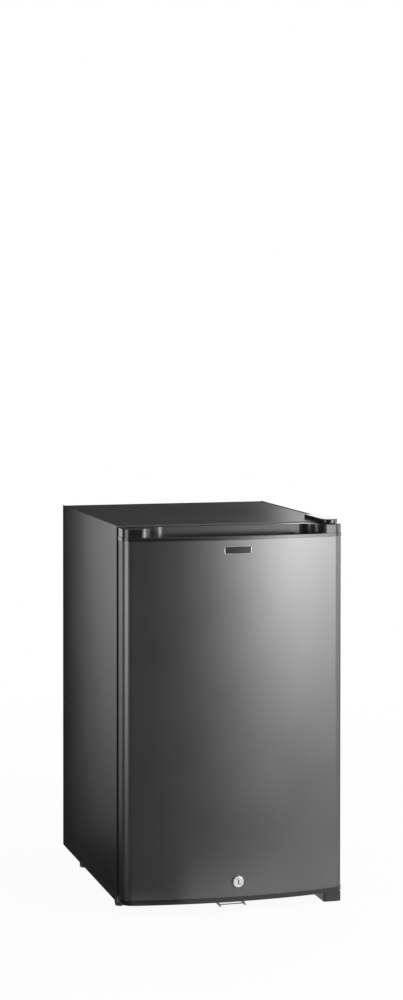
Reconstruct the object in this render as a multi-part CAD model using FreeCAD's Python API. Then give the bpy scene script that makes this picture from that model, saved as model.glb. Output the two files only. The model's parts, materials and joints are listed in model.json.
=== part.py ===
import FreeCAD
import Part
import math
import os

# Hotel minibar fridge of the quiet absorption kind: a steel cabinet around a foamed
# liner, a bowed door hung on the right, and a cooling unit in an open bay at the back.
# Millimetres. X runs to the right of someone facing the door, Y runs to the back and
# Z runs up. The origin is on the floor, at the middle of the part's outline.

# Cabinet outside
CABINET_WIDTH = 402.0
CABINET_HEIGHT = 672.0
CABINET_DEPTH = 430.0
STAND_HEIGHT = 14.0
SHEET = 0.8
EDGE_RETURN = 8.0
EDGE_ROUND_SHARE = 0.75
HEM_HEIGHT = 10.0
TOP_RECESS = 1.0
REAR_BAY_DEPTH = 105.0
OVERRUN = 5.0
SEAT_GAP = 0.3
TOUCH = 0.001

# Insulated box
SIDE_WALL = 36.0
TOP_WALL = 40.0
FLOOR_WALL = 43.0
BACK_WALL = 36.0
LINER = 1.6
LINER_CORNER = 14.0
LINER_BACK_ROUND = 9.0
LINER_FLANGE = 9.0
FRAME_THICKNESS = 3.0

# Vent slots along the back of the top
VENT_GROUPS = 5
VENT_FIRST = 28.0
VENT_LAST = 66.0
VENT_SLOTS = 3
VENT_SLOT_WIDTH = 4.0
VENT_SLOT_PITCH = 8.0
VENT_SLOT_LENGTH = 15.0
VENT_INSET = 12.0

# Door
DOOR_SIDE_GAP = 1.0
DOOR_LIFT = 18.4
DOOR_TOP_DROP = 2.0
DOOR_GAP = 12.0
DOOR_THICKNESS = 54.0
DOOR_BOW = 17.0
DOOR_CORNER = 18.0
DOOR_RETURN = 15.0
DOOR_LINER = 1.6
TOP_CAP_HEIGHT = 22.0
BOTTOM_CAP_HEIGHT = 9.0
CAP_WALL = 2.5
CAP_PROUD = 0.8
CAP_EDGE_ROUND = 1.4
BAND_HEIGHT = 6.5
BAND_EDGE_ROUND = 0.6

# Handle recess in the top cap
RECESS_SIDE = 32.0
RECESS_END_RUN = 43.0
RECESS_DEPTH = 41.0
POCKET_END_INSET = 9.0
POCKET_LIP = 8.0
POCKET_SINK = 14.0

# Inside of the door
DIKE_SIDE_GAP = 17.0
DIKE_WIDTH = 9.0
DIKE_REACH = 45.0
DIKE_END_INSET = 16.0
DIKE_ROUND = 3.0
GASKET_SIDE_MARGIN = 19.0
GASKET_WIDTH = 14.0
GASKET_MARGIN_BOTTOM = 9.0
GASKET_MARGIN_TOP = 15.0
GASKET_CORNER = 10.0
GASKET_FOOT = 4.0
GASKET_NECK_WIDTH = 7.0
GASKET_BULB = 5.0

# Door bins
BIN_LEVELS_SHARES = (0.02, 0.52)
BIN_HEIGHT = 74.0
BIN_WALL = 2.0
BIN_FRONT_REACH = 72.0
BIN_DOOR_GAP = 1.0
BIN_ROUND = 7.0
BIN_SIDE_GAP = 0.8
BIN_LIFT = 12.0
HOOK_DROP = 16.0
LUG_REACH = 5.5
LUG_DEPTH = 10.0
LUG_HEIGHT = 12.0
LUG_PLAY = 0.4
LUG_PLACE_SHARES = (0.25, 0.7)

# Hinges
HINGE_INSET = 20.0
HINGE_SETBACK = 15.0
PIN_RADIUS = 4.0
PIN_PLAY = 0.05
BUSH_WALL = 2.5
BUSH_LENGTH = 15.0
PIN_REACH = 14.0
HINGE_PLATE = 3.0
HINGE_PLATE_WIDTH = 27.0
HINGE_TAIL = 62.0
SCREW_PLACES_SHARES = (0.42, 0.84)
SCREW_RADIUS = 2.4
SCREW_HEAD_RADIUS = 4.5
SCREW_HEAD_HEIGHT = 2.0
SCREW_LENGTH = 14.0
COVER_HEIGHT = 3.8
COVER_WALL = 1.4
COVER_SIDE = 1.2
COVER_ROUND = 1.2
ANCHOR_HEIGHT = 12.0
ANCHOR_SIDE = 2.0
PLUG_RADIUS = 4.2
PLUG_HEIGHT = 1.4
WASHER_RADIUS = 8.0

# Feet
FOOT_RADIUS = 9.5
FOOT_TIP_RADIUS = 8.0
FOOT_ROUND = 2.0
FOOT_STEM_RADIUS = 4.0
FOOT_STEM_LENGTH = 7.0
FOOT_SIDE_INSET = 13.0
FRONT_FOOT_SETBACK = 30.0
REAR_FOOT_INSET = 20.0
HINGE_FOOT_SIDE_INSET = 2.0
HINGE_FOOT_WIDTH = 33.0
HINGE_FOOT_FRONT = 42.0
HINGE_FOOT_BACK = 58.0
HINGE_FOOT_TOP = 16.4
HINGE_FOOT_ROUND = 5.0
HINGE_FOOT_SOLE_ROUND = 1.5

# Lock and its keeper
LOCK_HEIGHT = 54.0
LOCK_RIM_RADIUS = 9.5
LOCK_RIM_PROUD = 5.0
LOCK_RIM_ROUND = 1.0
LOCK_BARREL_RADIUS = 8.0
LOCK_BARREL_LENGTH = 30.0
LOCK_HOLE_PLAY = 0.2
LOCK_PLUG_RADIUS = 6.2
LOCK_PLUG_SINK = 0.6
LOCK_PLUG_SHOULDER = 1.0
KEYWAY_HEIGHT = 8.6
KEYWAY_WIDTH = 2.4
KEYWAY_DEPTH = 14.0
LOCK_NOTCH_WIDTH = 3.0
LOCK_NOTCH_DEPTH = 1.6
LOCK_NOTCH_TURN = 35.0
LOCK_NUT_SIDES = 6
LOCK_NUT_FLATS = 21.0
LOCK_NUT_HEIGHT = 5.0
TAIL_SIDE = 6.0
CAM_SETBACK = 8.0
CAM_THICKNESS = 2.0
CAM_LENGTH = 48.0
CAM_WIDTH = 14.0
CAM_PLAY = 2.0
CAM_SCREW_RADIUS = 4.0
CAM_SCREW_HEIGHT = 2.0
STRIKE_HALF = 23.5
STRIKE_SHEET = 1.5
STRIKE_FLOOR_GAP = 3.0
STRIKE_FRONT = 37.0
STRIKE_BACK = 34.0
STRIKE_EAR = 14.0
STRIKE_EAR_LENGTH = 16.0
STRIKE_RISE_SHARE = 0.55
KEEPER_THICKNESS = 2.0
KEEPER_HEIGHT = 6.4
KEEPER_CAM_GAP = 1.2

# Badge place on the door, left blank
BADGE_WIDTH = 48.0
BADGE_HEIGHT = 12.5
BADGE_THICKNESS = 1.2
BADGE_DROP = 11.0

# Shelves
SHELF_LEVELS_SHARES = (0.33, 0.62)
SHELF_TRAVEL = 20.0
SHELF_WIRE = 3.0
SHELF_ROD = 1.75
SHELF_RODS = 15
SHELF_BIN_GAP = 14.7
RAIL_DEPTH = 9.0
RAIL_WALL = 1.8
RAIL_STOP = 5.0
RAIL_PLAY = 0.8
RAIL_BACK_GAP = 12.0

# Evaporator and drip gutter
EVAPORATOR_SIDE_GAP = 53.0
EVAPORATOR_HEIGHT = 128.0
EVAPORATOR_TOP_GAP = 24.0
EVAPORATOR_PLATE = 4.0
FIN_COUNT = 15
FIN_THICKNESS = 1.8
FIN_DEPTH = 26.0
GUTTER_SIDE = 8.0
GUTTER_DEPTH = 42.0
GUTTER_HEIGHT = 18.0
GUTTER_WALL = 2.0
GUTTER_DROP = 10.0
DRAIN_RADIUS = 6.0
DRAIN_BORE = 4.4
DRAIN_OUT = 14.0

# Thermostat with its lamp
CONTROL_DEPTH = 26.0
CONTROL_LENGTH = 92.0
CONTROL_HEIGHT = 60.0
CONTROL_TOP_GAP = 1.0
CONTROL_BACK_GAP = 82.0
CONTROL_DOOR_GAP = 70.0
CONTROL_ROUND = 4.0
CONTROL_WALL = 2.2
KNOB_RADIUS = 15.0
KNOB_LENGTH = 11.0
KNOB_GRIP_SHARE = 0.55
KNOB_GRIP_WIDTH = 7.0
KNOB_ROUND = 1.2
KNOB_GAP = 0.6
KNOB_PLACE_SHARE = 0.28
KNOB_STEM_RADIUS = 3.0
KNOB_STEM_LENGTH = 9.0
LENS_LENGTH = 38.0
LENS_HEIGHT = 34.0
LENS_THICKNESS = 4.0
LENS_PLACE_SHARE = 0.72
LENS_ROUND = 2.5
SENSOR_RADIUS = 2.0
SENSOR_BEND = 12.0
SENSOR_DROP_SHARE = 0.4
SENSOR_SETBACK = 10.0

# Cooling unit in the rear bay
UNIT_SETBACK = 52.0
BOILER_SIDE_INSET = 62.0
BOILER_FLOOR_GAP = 96.0
BOILER_HEIGHT = 300.0
BOILER_RADIUS = 33.0
BOILER_TUBE_RADIUS = 12.0
BOILER_TUBE_TAIL = 22.0
HEATER_RADIUS = 6.0
HEATER_GAP = 1.5
HEATER_LENGTH = 130.0
HEATER_TAIL = 14.0
CONDENSER_DROP = 78.0
CONDENSER_RADIUS = 9.0
CONDENSER_BOILER_GAP = 43.0
CONDENSER_FINS = 19
CONDENSER_FIN = 1.0
CONDENSER_FIN_HEIGHT = 62.0
CONDENSER_FIN_DEPTH = 58.0
CONDENSER_SLEEVE = 1.2
CONDENSER_TAIL = 20.0
CONDENSER_BEND = 30.0
EVAPORATOR_TUBE_RADIUS = 9.0
EVAPORATOR_TUBE_BEND = 21.0
EVAPORATOR_TUBE_LEAD = 24.0
RETURN_TUBE_LEAD = 24.0
VESSEL_RADIUS = 31.0
VESSEL_BOILER_GAP = 59.0
VESSEL_SIDE_INSET = 34.0
VESSEL_FLOOR_GAP = 26.0
VESSEL_END_ROUND = 12.0
COIL_RADIUS = 8.0
COIL_PASSES = 5
COIL_DROP = 58.0
COIL_BEND_SHARE = 0.49
COIL_END_INSET = 15.0
COIL_RISE = 46.0
RETURN_RADIUS = 7.0
RETURN_BEND = 14.0
WELD_DEPTH = 3.0
SADDLE_WIDTH = 24.0
SADDLE_HEIGHT = 18.0
SADDLE_GRIP_SHARE = 0.3
SADDLE_SPREAD_SHARE = 0.25
TERMINAL_WIDTH = 76.0
TERMINAL_HEIGHT = 92.0
TERMINAL_DEPTH = 46.0
TERMINAL_SIDE_INSET = 16.0
TERMINAL_FEED_GAP = 43.0
TERMINAL_ROUND = 3.0
TERMINAL_WALL = 2.5
INLET_PLACE_SHARE = 0.34
INLET_WIDTH = 27.0
INLET_HEIGHT = 19.5
INLET_DEPTH = 16.0
INLET_WALL = 2.0
INLET_COLLAR = 3.0
INLET_PIN_WIDTH = 2.0
INLET_PIN_HEIGHT = 4.0
INLET_PIN_LENGTH = 12.0
INLET_PIN_SPREAD = 7.0
INLET_EARTH_RISE = 4.0

# Planes and lines that the pieces share
front_reach = DOOR_GAP + DOOR_THICKNESS + LOCK_RIM_PROUD
front_y = (front_reach - CABINET_DEPTH) / 2
back_y = front_y + CABINET_DEPTH
half_width = CABINET_WIDTH / 2
roof_z = CABINET_HEIGHT - TOP_RECESS
box_back_y = back_y - REAR_BAY_DEPTH
cavity_half = half_width - SIDE_WALL
cavity_floor = STAND_HEIGHT + FLOOR_WALL
cavity_roof = CABINET_HEIGHT - TOP_WALL
cavity_back = box_back_y - BACK_WALL

door_half = half_width - DOOR_SIDE_GAP
door_back_y = front_y - DOOR_GAP
door_front_y = door_back_y - DOOR_THICKNESS
door_top = CABINET_HEIGHT - DOOR_TOP_DROP
panel_floor = DOOR_LIFT + BOTTOM_CAP_HEIGHT
panel_top = door_top - TOP_CAP_HEIGHT
band_top = panel_top + BAND_HEIGHT
corner_x = door_half - DOOR_CORNER
bow_radius = (corner_x ** 2 + DOOR_BOW ** 2) / (2 * DOOR_BOW)
bow_y = door_front_y + bow_radius
corner_y = bow_y - math.sqrt((bow_radius - DOOR_CORNER) ** 2 - corner_x ** 2)

recess_mouth_half = door_half - RECESS_SIDE
recess_back_half = recess_mouth_half - RECESS_END_RUN
pocket_half = recess_back_half - POCKET_END_INSET
gasket_half = door_half - GASKET_SIDE_MARGIN

edge_round = EDGE_ROUND_SHARE * SHEET
vent_pitch = (CABINET_WIDTH - VENT_FIRST - VENT_LAST) / (VENT_GROUPS - 1)
hinge_x = door_half - HINGE_INSET
hinge_y = door_back_y - HINGE_SETBACK
bush_radius = PIN_RADIUS + PIN_PLAY + BUSH_WALL
plate_bottom = STAND_HEIGHT - HINGE_PLATE

dike_half = cavity_half - DIKE_SIDE_GAP
dike_floor = cavity_floor + DIKE_END_INSET
dike_roof = cavity_roof - DIKE_END_INSET
dike_back_y = front_y + DIKE_REACH
bin_half = dike_half - DIKE_WIDTH - BIN_SIDE_GAP
bin_front_y = door_back_y + BIN_DOOR_GAP
bin_back_y = front_y + BIN_FRONT_REACH
bin_floors = [dike_floor + share * (dike_roof - dike_floor) for share in BIN_LEVELS_SHARES]

nut_reach = LOCK_NUT_FLATS / 2 / math.cos(math.pi / LOCK_NUT_SIDES)
nut_seat_y = bow_y - math.sqrt(bow_radius ** 2 - nut_reach ** 2) + SHEET
cam_front_y = door_back_y - CAM_SETBACK - CAM_THICKNESS
keeper_back_y = cam_front_y - KEEPER_CAM_GAP
plug_front_y = door_front_y - LOCK_RIM_PROUD + LOCK_PLUG_SINK
plug_back_y = door_front_y + LOCK_BARREL_LENGTH + LOCK_PLUG_SHOULDER

shelf_levels = [cavity_floor + share * (cavity_roof - cavity_floor) for share in SHELF_LEVELS_SHARES]
groove_height = 2 * SHELF_WIRE + RAIL_PLAY
rail_back_y = cavity_back - RAIL_BACK_GAP
groove_back_y = rail_back_y - RAIL_STOP
shelf_back_y = groove_back_y - SEAT_GAP
shelf_front_y = bin_back_y + SHELF_BIN_GAP + SHELF_TRAVEL
groove_front_y = shelf_front_y - SHELF_TRAVEL - SEAT_GAP
rail_front_y = groove_front_y - RAIL_STOP
shelf_half = cavity_half - RAIL_WALL - SEAT_GAP

evaporator_half = cavity_half - EVAPORATOR_SIDE_GAP
evaporator_top = cavity_roof - EVAPORATOR_TOP_GAP
evaporator_floor = evaporator_top - EVAPORATOR_HEIGHT
wall_tube_z = (evaporator_floor + evaporator_top) / 2
plate_front_y = cavity_back - EVAPORATOR_PLATE
gutter_top = evaporator_floor - GUTTER_DROP
gutter_floor = gutter_top - GUTTER_HEIGHT
drain_z = gutter_floor + GUTTER_WALL + DRAIN_RADIUS

control_room = cavity_back - dike_back_y - CONTROL_LENGTH
control_back_y = cavity_back - control_room * CONTROL_BACK_GAP / (CONTROL_BACK_GAP + CONTROL_DOOR_GAP)
control_front_y = control_back_y - CONTROL_LENGTH
control_top = cavity_roof - LINER_CORNER - CONTROL_TOP_GAP
control_floor = control_top - CONTROL_HEIGHT
control_x = cavity_half - CONTROL_DEPTH
knob_y = control_front_y + KNOB_PLACE_SHARE * CONTROL_LENGTH
knob_z = (control_floor + control_top) / 2
lens_y = control_front_y + LENS_PLACE_SHARE * CONTROL_LENGTH

unit_y = box_back_y + UNIT_SETBACK
boiler_x = half_width - BOILER_SIDE_INSET
boiler_floor = BOILER_FLOOR_GAP
boiler_top = boiler_floor + BOILER_HEIGHT
condenser_z = roof_z - CONDENSER_DROP
condenser_half = boiler_x - CONDENSER_BOILER_GAP
condenser_left = -condenser_half - CONDENSER_TAIL
terminal_floor = wall_tube_z - EVAPORATOR_TUBE_RADIUS - TERMINAL_FEED_GAP - TERMINAL_HEIGHT
vessel_left = -half_width + VESSEL_SIDE_INSET
vessel_right = boiler_x - BOILER_RADIUS - VESSEL_BOILER_GAP
vessel_z = VESSEL_FLOOR_GAP + VESSEL_RADIUS
coil_left = vessel_left + VESSEL_RADIUS
coil_right = vessel_right - COIL_END_INSET
coil_floor = vessel_z + VESSEL_RADIUS + COIL_RISE
coil_top = terminal_floor - COIL_DROP
coil_pitch = (coil_top - coil_floor) / (COIL_PASSES - 1)

UP = FreeCAD.Vector(0, 0, 1)
BACK = FreeCAD.Vector(0, 1, 0)
RIGHT = FreeCAD.Vector(1, 0, 0)
drain_start = FreeCAD.Vector(0, cavity_back - GUTTER_WALL, drain_z)
sensor_z = control_floor + SENSOR_DROP_SHARE * CONTROL_HEIGHT
foot_x = half_width - FOOT_SIDE_INSET
foot_places = [
    FreeCAD.Vector(-foot_x, front_y + FRONT_FOOT_SETBACK, 0),
    FreeCAD.Vector(-foot_x, box_back_y - REAR_FOOT_INSET, 0),
    FreeCAD.Vector(foot_x, box_back_y - REAR_FOOT_INSET, 0),
]
sensor_start = FreeCAD.Vector((control_x + cavity_half) / 2, control_back_y, sensor_z)


def point(x, y, z):
    return FreeCAD.Vector(x, y, z)


def box(x0, x1, y0, y1, z0, z1):
    return Part.makeBox(x1 - x0, y1 - y0, z1 - z0, point(x0, y0, z0))


def rod(start, direction, radius, length):
    return Part.makeCylinder(radius, length, start, direction)


def ring(start, direction, radius, bore, length):
    return rod(start, direction, radius, length).cut(rod(start, direction, bore, length))


def mirrored(shape):
    """The same piece on the other side of the middle plane."""
    return shape.mirror(point(0, 0, 0), RIGHT)


def joined(first, *others):
    """Several shapes that touch, as one solid with no seams left on its faces."""
    return first.fuse(list(others)).removeSplitter()


def edges_on(shape, *tests):
    """Edges whose two ends pass every test."""
    found = []
    for edge in shape.Edges:
        ends = [vertex.Point for vertex in edge.Vertexes]
        if all(test(end) for test in tests for end in ends):
            found.append(edge)
    return found


def near(axis, value):
    """A test that a point lies on one plane across an axis."""
    return lambda place: abs(getattr(place, axis) - value) < TOUCH


def rounded_rectangle(half, low, high, radius, y):
    """Upright rectangle with round corners, across the depth, at one distance back."""
    turn = radius - radius / math.sqrt(2)
    corners = [
        (point(half, y, low + radius), point(half - turn, y, low + turn), point(half - radius, y, low)),
        (point(-half + radius, y, low), point(-half + turn, y, low + turn), point(-half, y, low + radius)),
        (point(-half, y, high - radius), point(-half + turn, y, high - turn), point(-half + radius, y, high)),
        (point(half - radius, y, high), point(half - turn, y, high - turn), point(half, y, high - radius)),
    ]
    edges = []
    for corner, following in zip(corners, corners[1:] + corners[:1]):
        edges.append(Part.Arc(*corner).toShape())
        edges.append(Part.LineSegment(corner[2], following[0]).toShape())
    return Part.Face(Part.Wire(edges))


def rounded_block(half, low, high, radius, y0, y1):
    return rounded_rectangle(half, low, high, radius, y0).extrude(BACK * (y1 - y0))


def swept_tube(places, radius, bend):
    """Tube along straight runs that are joined by arcs of one bend radius."""
    edges = []
    start = places[0]
    for before, corner, after in zip(places, places[1:], places[2:]):
        inward = (corner - before).normalize()
        outward = (after - corner).normalize()
        turn = inward.getAngle(outward)
        reach = bend * math.tan(turn / 2)
        first = corner - inward * reach
        last = corner + outward * reach
        heart = corner + (outward - inward).normalize() * (bend / math.cos(turn / 2))
        middle = heart + (corner - heart).normalize() * bend
        edges.append(Part.LineSegment(start, first).toShape())
        edges.append(Part.Arc(first, middle, last).toShape())
        start = last
    edges.append(Part.LineSegment(start, places[-1]).toShape())
    along = (places[1] - places[0]).normalize()
    profile = Part.Wire(Part.Circle(places[0], along, radius).toShape())
    return Part.Wire(edges).makePipeShell([profile], True, False)


def door_outline(inset, rear, z):
    """Plan of the door: straight sides, round corners and a bowed front, all set in alike."""
    half = door_half - inset
    heart = point(0, bow_y, z)
    hub = point(corner_x, corner_y, z)
    small = DOOR_CORNER - inset
    out = (hub - heart).normalize()
    meet = heart + out * (bow_radius - inset)
    halfway = hub + (out + RIGHT).normalize() * small
    apex = point(0, bow_y - bow_radius + inset, z)

    def flip(place):
        return point(-place.x, place.y, place.z)

    side = point(half, corner_y, z)
    rear_corner = point(half, rear, z)
    return Part.Face(Part.Wire([
        Part.LineSegment(rear_corner, side).toShape(),
        Part.Arc(side, halfway, meet).toShape(),
        Part.Arc(meet, apex, flip(meet)).toShape(),
        Part.Arc(flip(meet), flip(halfway), flip(side)).toShape(),
        Part.LineSegment(flip(side), flip(rear_corner)).toShape(),
        Part.LineSegment(flip(rear_corner), rear_corner).toShape(),
    ]))


def door_block(inset, rear, z0, z1):
    return door_outline(inset, rear, z0).extrude(UP * (z1 - z0))


def bow_face_y(x):
    """Distance back of the door's front face at one distance from the middle."""
    return bow_y - math.sqrt(bow_radius ** 2 - x ** 2)


# Cabinet

def left_side_panel():
    outside = -half_width
    inside = outside + SHEET
    skin = box(outside, inside, front_y, back_y, STAND_HEIGHT, CABINET_HEIGHT)
    hem = box(inside, inside + SHEET, front_y + SHEET, back_y - SHEET,
              CABINET_HEIGHT - HEM_HEIGHT, CABINET_HEIGHT)
    front_fold = box(inside, outside + EDGE_RETURN, front_y, front_y + SHEET,
                     STAND_HEIGHT + EDGE_RETURN, roof_z - EDGE_RETURN)
    back_fold = box(inside, outside + EDGE_RETURN, back_y - SHEET, back_y,
                    STAND_HEIGHT, roof_z - EDGE_RETURN)
    panel = joined(skin, hem, front_fold, back_fold)
    rounded = edges_on(panel, near("z", CABINET_HEIGHT), near("x", outside))
    panel = panel.makeFillet(edge_round, rounded)
    upright = edges_on(panel, near("x", outside), near("y", front_y))
    return panel.makeFillet(edge_round, upright)


def hinge_screw_places(side):
    """Places on the roof where a top hinge plate is screwed, on one side of the cabinet."""
    return [point(side * hinge_x, front_y + share * HINGE_TAIL, roof_z) for share in SCREW_PLACES_SHARES]


def top_panel():
    half = half_width - 2 * SHEET
    plate = box(-half, half, front_y, back_y, roof_z - SHEET, roof_z)
    front_fold = box(-half, half, front_y, front_y + SHEET, roof_z - EDGE_RETURN, roof_z - SHEET)
    back_fold = box(-half, half, back_y - SHEET, back_y, roof_z - EDGE_RETURN, roof_z - SHEET)
    panel = joined(plate, front_fold, back_fold)
    panel = panel.makeFillet(edge_round, edges_on(panel, near("z", roof_z), near("y", front_y)))
    cuts = []
    slot_back = back_y - VENT_INSET
    for group in range(VENT_GROUPS):
        middle = -half_width + VENT_FIRST + group * vent_pitch
        for slot in range(VENT_SLOTS):
            x = middle + (slot - (VENT_SLOTS - 1) / 2) * VENT_SLOT_PITCH
            cuts.append(box(x - VENT_SLOT_WIDTH / 2, x + VENT_SLOT_WIDTH / 2, slot_back - VENT_SLOT_LENGTH,
                            slot_back, roof_z - SHEET - OVERRUN, roof_z + OVERRUN))
    for side in (-1, 1):
        for place in hinge_screw_places(side):
            cuts.append(rod(place - UP * OVERRUN, UP, SCREW_RADIUS, 2 * OVERRUN))
    return panel.cut(cuts)


def foot(place):
    pad = Part.makeCone(FOOT_TIP_RADIUS, FOOT_RADIUS, STAND_HEIGHT, place, UP)
    pad = pad.makeFillet(FOOT_ROUND, edges_on(pad, near("z", 0)))
    stem = rod(place + UP * STAND_HEIGHT, UP, FOOT_STEM_RADIUS, FOOT_STEM_LENGTH)
    return joined(pad, stem)


def base_panel():
    half = half_width - SHEET
    plate = box(-half, half, front_y, box_back_y, STAND_HEIGHT, STAND_HEIGHT + SHEET)
    fold = box(-half, half, front_y, front_y + SHEET, STAND_HEIGHT + SHEET, STAND_HEIGHT + EDGE_RETURN)
    holes = [rod(place, UP, FOOT_STEM_RADIUS, STAND_HEIGHT + OVERRUN) for place in foot_places]
    holes += [rod(place - UP * OVERRUN, UP, SCREW_RADIUS, 2 * OVERRUN)
              for place in bottom_screw_places() + strike_screw_places()]
    return joined(plate, fold).cut(holes)


def back_sheet():
    half = half_width - 2 * SHEET
    sheet = box(-half, half, box_back_y - SHEET, box_back_y, STAND_HEIGHT + SHEET, roof_z - SHEET)
    return sheet.cut(wall_tubes())


def front_frame():
    half = half_width - EDGE_RETURN
    outer = box(-half, half, front_y, front_y + FRAME_THICKNESS,
                STAND_HEIGHT + EDGE_RETURN, roof_z - EDGE_RETURN)
    return outer.cut(rounded_block(cavity_half, cavity_floor, cavity_roof, LINER_CORNER,
                                   front_y - OVERRUN, front_y + FRAME_THICKNESS + OVERRUN))


def liner_block(grow, y0, y1, back_round):
    """Block of the cavity's shape, grown by a wall, with its back edges rounded."""
    block = rounded_block(cavity_half + grow, cavity_floor - grow, cavity_roof + grow,
                          LINER_CORNER + grow, y0, y1)
    return block.makeFillet(back_round, edges_on(block, near("y", y1)))


def liner_outside():
    start = front_y + FRAME_THICKNESS
    tub = liner_block(LINER, start, cavity_back + LINER, LINER_BACK_ROUND + LINER)
    flange = rounded_block(cavity_half + LINER_FLANGE, cavity_floor - LINER_FLANGE,
                           cavity_roof + LINER_FLANGE, LINER_CORNER + LINER_FLANGE, start, start + LINER)
    return joined(tub, flange)


def inner_liner():
    cavity = liner_block(0, front_y - OVERRUN, cavity_back, LINER_BACK_ROUND)
    return liner_outside().cut([cavity] + wall_tubes())


def insulation_foam():
    half = half_width - SHEET
    block = box(-half, half, front_y + SHEET, box_back_y - SHEET, STAND_HEIGHT + SHEET, roof_z - SHEET)
    frame = box(-half_width + EDGE_RETURN, half_width - EDGE_RETURN, front_y, front_y + FRAME_THICKNESS,
                STAND_HEIGHT, CABINET_HEIGHT)
    hems = [box(side * half_width - 2 * SHEET, side * half_width + 2 * SHEET, front_y, back_y,
                CABINET_HEIGHT - HEM_HEIGHT, CABINET_HEIGHT) for side in (-1, 1)]
    stems = [rod(place, UP, FOOT_STEM_RADIUS, STAND_HEIGHT + FOOT_STEM_LENGTH) for place in foot_places]
    screws = [rod(place - UP * OVERRUN, UP, SCREW_RADIUS, OVERRUN + SCREW_LENGTH)
              for place in bottom_screw_places() + strike_screw_places()]
    return block.cut([frame, liner_outside()] + hems + stems + screws + anchor_blocks() + wall_tubes())


# Hinges, feet and the keeper under the door

def anchor_blocks():
    blocks = []
    for side in (-1, 1):
        x = side * hinge_x
        blocks.append(box(x - HINGE_PLATE_WIDTH / 2 + ANCHOR_SIDE, x + HINGE_PLATE_WIDTH / 2 - ANCHOR_SIDE,
                          front_y + FRAME_THICKNESS + LINER, front_y + HINGE_TAIL,
                          roof_z - SHEET - ANCHOR_HEIGHT, roof_z - SHEET))
    return blocks


def hinge_anchors():
    holes = [rod(place - UP * (SCREW_LENGTH + OVERRUN), UP, SCREW_RADIUS, SCREW_LENGTH + 2 * OVERRUN)
             for side in (-1, 1) for place in hinge_screw_places(side)]
    return Part.makeCompound([block.cut(holes) for block in anchor_blocks()])


def hinge_plate_outline(z):
    """Flat strip with a round nose about the hinge pin and a square tail on the cabinet."""
    half = HINGE_PLATE_WIDTH / 2
    strip = box(hinge_x - half, hinge_x + half, hinge_y, front_y + HINGE_TAIL, z, z + HINGE_PLATE)
    nose = rod(point(hinge_x, hinge_y, z), UP, half, HINGE_PLATE)
    return joined(strip, nose)


def top_hinge_plate():
    plate = hinge_plate_outline(roof_z)
    holes = [rod(place - UP * OVERRUN, UP, SCREW_RADIUS, 2 * OVERRUN) for place in hinge_screw_places(1)]
    return plate.cut(holes)


def hinge_pins():
    top = rod(point(hinge_x, hinge_y, roof_z - PIN_REACH), UP, PIN_RADIUS, PIN_REACH)
    bottom = rod(point(hinge_x, hinge_y, STAND_HEIGHT), UP, PIN_RADIUS, DOOR_LIFT - STAND_HEIGHT + PIN_REACH)
    return Part.makeCompound([top, bottom])


def pan_screw(seat, direction):
    """Pan head screw: the head's underside on its seat, the shank running into the piece."""
    head = rod(seat, direction, SCREW_HEAD_RADIUS, SCREW_HEAD_HEIGHT)
    shank = rod(seat, direction * -1, SCREW_RADIUS, SCREW_LENGTH)
    return joined(head, shank)


def pan_screws():
    """All six screws alike: two in each hinge plate and two in the strike bracket."""
    top = [pan_screw(place + UP * HINGE_PLATE, UP) for place in hinge_screw_places(1)]
    bottom = [pan_screw(place - UP * HINGE_PLATE, UP * -1) for place in bottom_screw_places()]
    strike = [pan_screw(place - UP * STRIKE_SHEET, UP * -1) for place in strike_screw_places()]
    return Part.makeCompound(top + bottom + strike)


def top_hinge_cover():
    """Low cap over the hinge plate, from behind its tail to in front of its nose."""
    half = HINGE_PLATE_WIDTH / 2 + COVER_SIDE
    top = roof_z + HINGE_PLATE + COVER_HEIGHT
    height = top - roof_z
    back = front_y + HINGE_TAIL
    strip = box(hinge_x - half, hinge_x + half, hinge_y, back + COVER_SIDE, roof_z, top)
    outer = joined(strip, rod(point(hinge_x, hinge_y, roof_z), UP, half, height))
    outer = outer.makeFillet(COVER_ROUND, edges_on(outer, near("z", top)))
    inside = HINGE_PLATE_WIDTH / 2 - COVER_WALL
    hollow = box(hinge_x - inside, hinge_x + inside, front_y, back - COVER_WALL,
                 roof_z + HINGE_PLATE - OVERRUN, top - COVER_WALL)
    return outer.cut([hinge_plate_outline(roof_z), hollow])


def spare_hole_plugs():
    """Caps in the screw holes of the side where the door could be hung instead."""
    plugs = []
    for place in hinge_screw_places(-1):
        cap = rod(place, UP, PLUG_RADIUS, PLUG_HEIGHT)
        cap = cap.makeFillet(PLUG_HEIGHT / 2, edges_on(cap, near("z", roof_z + PLUG_HEIGHT)))
        plugs.append(joined(cap, rod(place - UP * OVERRUN, UP, SCREW_RADIUS, OVERRUN)))
    return Part.makeCompound(plugs)


def bottom_screw_places():
    return [point(hinge_x, front_y + share * HINGE_TAIL, STAND_HEIGHT) for share in SCREW_PLACES_SHARES]


def bottom_hinge_plate():
    plate = hinge_plate_outline(plate_bottom)
    holes = [rod(place - UP * (HINGE_PLATE + OVERRUN), UP, SCREW_RADIUS, HINGE_PLATE + 2 * OVERRUN)
             for place in bottom_screw_places()]
    return plate.cut(holes)


def thrust_washer():
    return ring(point(hinge_x, hinge_y, STAND_HEIGHT), UP, WASHER_RADIUS, PIN_RADIUS + PIN_PLAY,
                DOOR_LIFT - STAND_HEIGHT - SEAT_GAP)


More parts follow.
